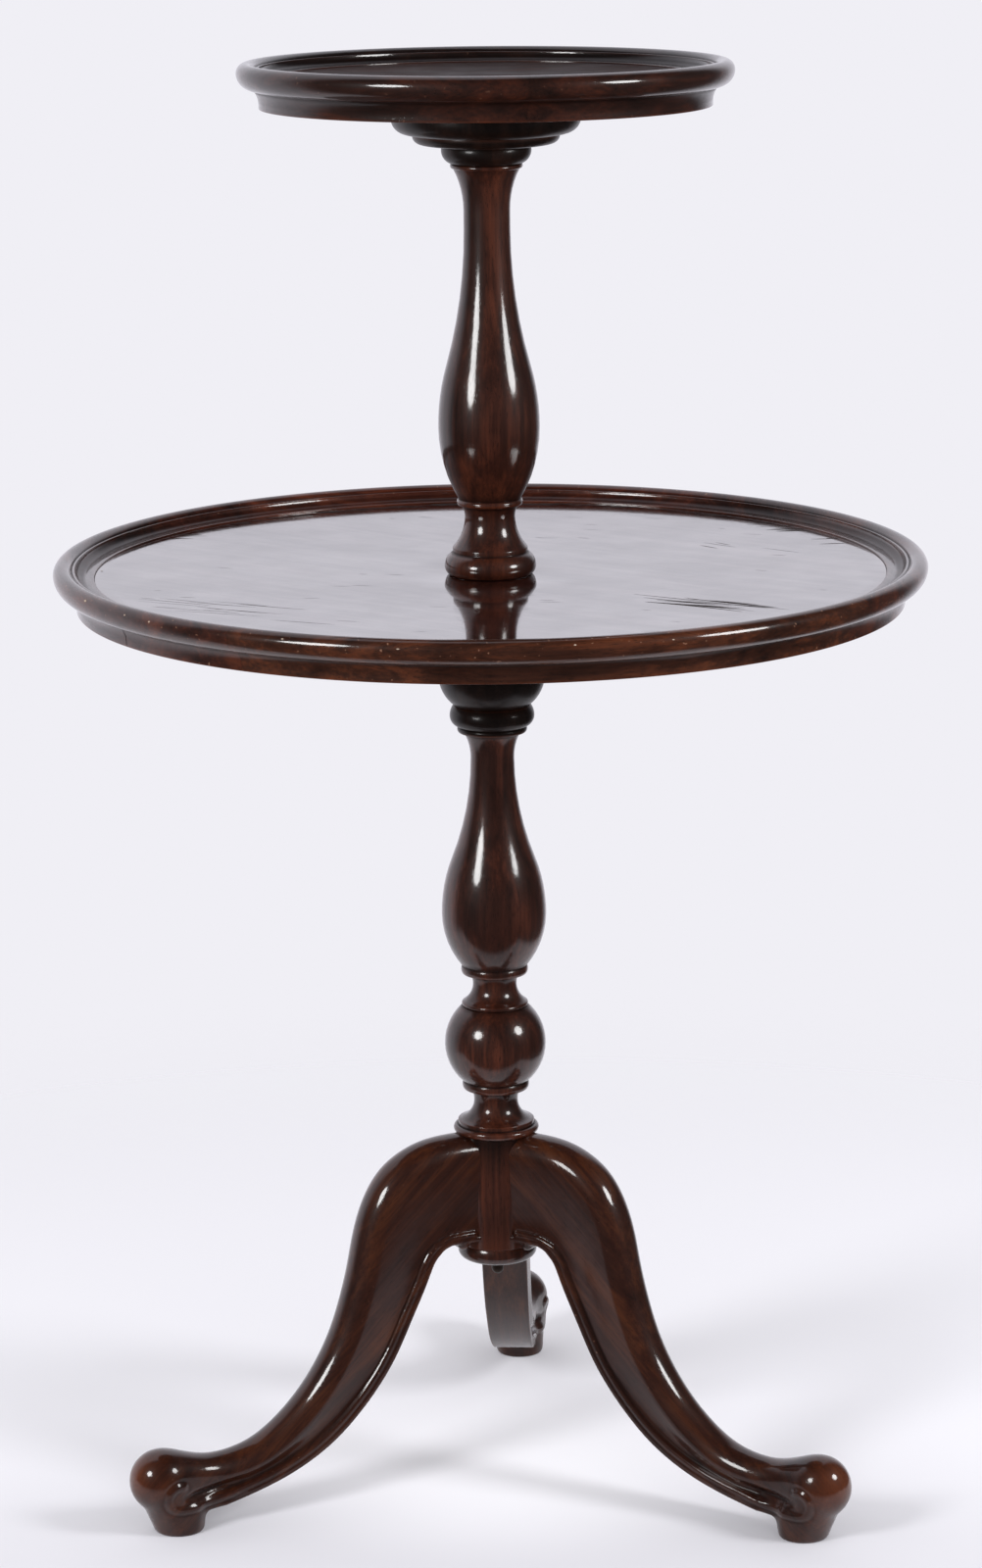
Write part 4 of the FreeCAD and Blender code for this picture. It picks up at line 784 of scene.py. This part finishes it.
def rim_outline(rim, board, base, undercut, edge):
    """Half section of a rim length, from its joint with the board outwards and back."""
    foot = rim - undercut
    shelf = base + edge + 9.5
    crown = shelf + 10.0
    fillet = crown + 3.2
    lip = base + 16.95 + BOARD_RISE + 1.0
    return ((board + 0.05, base, "line"), (foot, base, "line"), (foot, base + edge, "line"),
            (foot + 3.7, shelf, "from_upright"), (foot + 4.7, shelf, "line"), (rim, crown, "to_upright"),
            (rim - 11.5, crown + 3.6, "from_upright"), (rim - 11.9, fillet - 0.7, "line"),
            (rim - 12.3, fillet, "line"), (rim - 14.0, fillet, "line"), (rim - 21.6, lip, "from_upright"),
            (board + 0.3, lip - 0.15, "line"), (board + 0.05, lip - 0.4, "line"))


rims = (("lower", rim_outline(280.0, LOWER_EDGE, LOWER_BASE, 14.4, 3.0), 59.0, 13.0, 0.7,
         (red_tones, dark_tones, brown_tones, dark_tones)),
        ("upper", rim_outline(156.7, UPPER_EDGE, UPPER_BASE, 13.9, 2.7), 13.4, 17.0, 0.2,
         (black_tones, black_tones, umber_tones, umber_tones)))
for tier, outline, first, seed, nicks, tones in rims:
    for number in range(4):
        start = first + 90.0 * number
        name = f"{tier}_rim_length_{number + 1}"
        rim_polish = mahogany(f"moulded mahogany {tier} rim {number + 1}, French polished", tones[number],
                              (0.0, 0.0, start + 135.0), seed + number, nicks=nicks)
        length = turned_mesh(name, outline, start + RIM_GAP, start + 90.0 - RIM_GAP, 72)
        if tier == "upper":
            length.transform(upper_lean)
        put(name, length, rim_polish, f"{tier}_tier", "rim_mahogany", f"{tier}_rim_{number + 1}")

# Hurts on the lower tray: a shrinkage crack down the cavetto and a few chips in the polish of the
# bead and board, as thin flakes a few hundredths of a millimetre proud.
CRACK_ANGLE = 215.7
CAVETTO_FOOT = 265.6
BEAD_MIDDLE = (273.68, 614.1)
BEAD_RADIUS = 6.4
cavetto = arc_points((CAVETTO_FOOT, 594.6), (269.3, 604.1), "from_upright")
crack = [about(radius + 0.08, CRACK_ANGLE + 0.05 * math.sin(level), level)
         for radius, level in ((CAVETTO_FOOT, 592.2), (CAVETTO_FOOT, 593.4), *cavetto)]
put("lower_rim_crack", strokes_mesh("lower_rim_crack", [(crack, 0.8, about(1.0, CRACK_ANGLE, 0.0))]),
    dull_mark("open crack, dusty", "#0A0504"), "lower_tier", "rim_mahogany")
chips = []
for angle, lift, length, width in (
        (209.6, 28.0, 3.4, 1.7), (220.4, 24.0, 1.8, 1.0), (225.6, 20.0, 2.0, 1.0), (247.0, 30.0, 1.6, 1.0),
        (262.0, 12.0, 2.2, 0.7), (283.5, 26.0, 1.6, 0.9), (296.0, 18.0, 1.8, 0.7)):
    tilt = math.radians(lift)
    reach = BEAD_MIDDLE[0] + BEAD_RADIUS * math.cos(tilt)
    level = BEAD_MIDDLE[1] + BEAD_RADIUS * math.sin(tilt)
    turn = math.degrees(length / reach)
    flake = [about(reach, angle + turn * share, level) for share in (-0.5, -0.25, 0.0, 0.25, 0.5)]
    chips.append((flake, width, about(math.cos(tilt), angle, math.sin(tilt))))
board_flake = [about(250.4 + share, 181.2, 610.95) for share in (-0.9, -0.4, 0.0, 0.4, 0.9)]
chips.append((board_flake, 1.6, UPWARD))
put("lower_tray_chips", strokes_mesh("lower_tray_chips", chips),
    dull_mark("chipped polish, pale bare wood", "#C9B4A2"), "lower_tier", "rim_mahogany")

# Upper hub and flange: the two discs of the boss under the upper tray. The smaller one turns on
# the spigot and is glued up into the wider one, which is screwed to the board.
upper_hub_outline = (
    (11.05, 884.0, "line"), (41.42, 884.0, "line"), (46.7, 889.28, "to_upright"), (46.7, 890.6, "line"),
    (20.0, 890.6, "line"), (20.0, 907.9, "line"), (11.05, 907.9, "line"))
# The upper hub and flange take the nearly black material that paints the upper tray's shade on them
put("upper_tray_hub", turned_mesh("upper_tray_hub", upper_hub_outline), under_tray_painted_shade,
    "upper_tier", "hub_mahogany", "upper_hub")
upper_flange_outline = (
    (20.05, 890.6, "line"), (50.5, 890.6, "line"), (60.0, 900.1, "to_upright"), (60.0, 907.9, "line"),
    (20.05, 907.9, "line"))
put("upper_tray_flange", turned_mesh("upper_tray_flange", upper_flange_outline), under_tray_painted_shade,
    "upper_tier", "hub_mahogany", "upper_flange")

# Studio: a pale floor that fades into a white backdrop, two round soft lamps in front to the
# left and right, and a long-lens camera a little above the lower tray's height.
FLOOR_SIZE = 6.0
floor_mesh = bpy.data.meshes.new("floor")
floor_corners = [(FLOOR_SIZE * x, FLOOR_SIZE * y, 0) for x, y in ((-1, -1), (1, -1), (1, 1), (-1, 1))]
floor_mesh.from_pydata(floor_corners, [], [(0, 1, 2, 3)])
floor = bpy.data.objects.new("floor", floor_mesh)
bpy.context.scene.collection.objects.link(floor)
paper, tree = bare_material("matt white paper sweep")
spot = add_node(tree, "ShaderNodeTexCoord").outputs["Object"]
place = add_node(tree, "ShaderNodeSeparateXYZ", Vector=spot)
away = add_node(tree, "ShaderNodeVectorMath", {"operation": "LENGTH"}, i0=spot).outputs["Value"]
forward = maths(tree, "MULTIPLY", place.outputs["Y"], -1.0)


def fade(value, start, stop):
    """A smooth rise from 0 to 1 in the tree at hand."""
    return add_node(tree, "ShaderNodeMapRange", {"interpolation_type": "SMOOTHSTEP"}, Value=value,
                    From_Min=start, From_Max=stop).outputs[0]


# In the polish only a narrow sweep of paper is mirrored: the room in front and to the right is dark
beyond = maths(tree, "MAXIMUM", fade(forward, 0.18, 0.3), fade(place.outputs["X"], 0.42, 0.6))
sides = maths(tree, "MULTIPLY", beyond, add_node(tree, "ShaderNodeLightPath").outputs["Is Glossy Ray"])
edge = maths(tree, "MAXIMUM", fade(away, 0.55, 1.2), sides)
# Painted light on the paper: darker towards the front and brightest under the table, where the table's shade
# falls
painted_front_shade = mixed(tree, fade(place.outputs["Y"], -0.22, 0.1), linear("#DCDBE2"), linear("#F0EFF6"))
painted_floor_light = mixed(tree, fade(away, 0.03, 0.2), linear("#F8F7FD"), painted_front_shade)
matt = add_node(tree, "ShaderNodeBsdfDiffuse", Color=painted_floor_light)
gone = add_node(tree, "ShaderNodeBsdfTransparent")
faded = add_node(tree, "ShaderNodeMixShader", i0=edge, i1=matt.outputs[0], i2=gone.outputs[0])
add_node(tree, "ShaderNodeOutputMaterial", Surface=faded.outputs[0])
floor_mesh.materials.append(paper)

LAMP_WIDTH = 0.62
LAMPS_AIM_AT = Vector((0, 0, 0.45))
lamps = (("lamp_left", (-1.22, -1.44, 1.15), 21.0), ("lamp_right", (1.66, -0.72, 1.28), 19.0))
for name, stands_at, power in lamps:
    lamp = bpy.data.lights.new(name, "AREA")
    lamp.shape = "DISK"
    lamp.size = LAMP_WIDTH
    lamp.energy = power
    lamp_object = bpy.data.objects.new(name, lamp)
    bpy.context.scene.collection.objects.link(lamp_object)
    lamp_object.location = stands_at
    aim = LAMPS_AIM_AT - lamp_object.location
    lamp_object.rotation_euler = aim.to_track_quat("-Z", "Y").to_euler()

world = bpy.data.worlds.new("white studio")
bpy.context.scene.world = world
world.use_nodes = True
tree = world.node_tree
tree.nodes.clear()
ray = add_node(tree, "ShaderNodeLightPath")
direction = add_node(tree, "ShaderNodeTexCoord").outputs["Generated"]
split = add_node(tree, "ShaderNodeSeparateXYZ", Vector=direction)
# The white paper stands behind the table and round to its left; the rest of the room is dark
bearing = maths(tree, "ARCTAN2", split.outputs["X"], split.outputs["Y"])
short_of_right = maths(tree, "SUBTRACT", 1.0, fade(bearing, 0.3, 0.8))
behind = maths(tree, "MULTIPLY", fade(bearing, -1.75, -1.2), short_of_right)
glow = maths(tree, "MULTIPLY_ADD", behind, 0.97, 0.03)
mirrored = add_node(tree, "ShaderNodeBackground", Color=linear("#F4F2FC"), Strength=glow)
# Most of the soft light comes from the white walls, less from overhead
overhead = maths(tree, "MULTIPLY_ADD", split.outputs["Z"], -0.6, 1.17)
lit = add_node(tree, "ShaderNodeBackground", Color=(1, 1, 1, 1), Strength=overhead)
shown = add_node(tree, "ShaderNodeBackground", Color=linear("#F0EFF5"), Strength=1.0)
soft = add_node(tree, "ShaderNodeMixShader", i0=ray.outputs["Is Glossy Ray"],
                i1=lit.outputs[0], i2=mirrored.outputs[0])
seen = add_node(tree, "ShaderNodeMixShader", i0=ray.outputs["Is Camera Ray"],
                i1=soft.outputs[0], i2=shown.outputs[0])
add_node(tree, "ShaderNodeOutputWorld", Surface=seen.outputs[0])

camera = bpy.data.cameras.new("camera")
camera.lens = 114.44
camera.sensor_width = 36.0
camera_object = bpy.data.objects.new("camera", camera)
bpy.context.scene.collection.objects.link(camera_object)
stand_at = Matrix.Translation((0.1833, -3.1429, 1.2008))
turn_round = Matrix.Rotation(math.radians(3.358), 4, "Z")
tip_down = Matrix.Rotation(math.radians(90.0 - 13.075), 4, "X")
roll = Matrix.Rotation(-0.0104, 4, "Z")
camera_object.matrix_world = stand_at @ turn_round @ tip_down @ roll
bpy.context.scene.camera = camera_object
bpy.context.scene.view_settings.view_transform = "Standard"
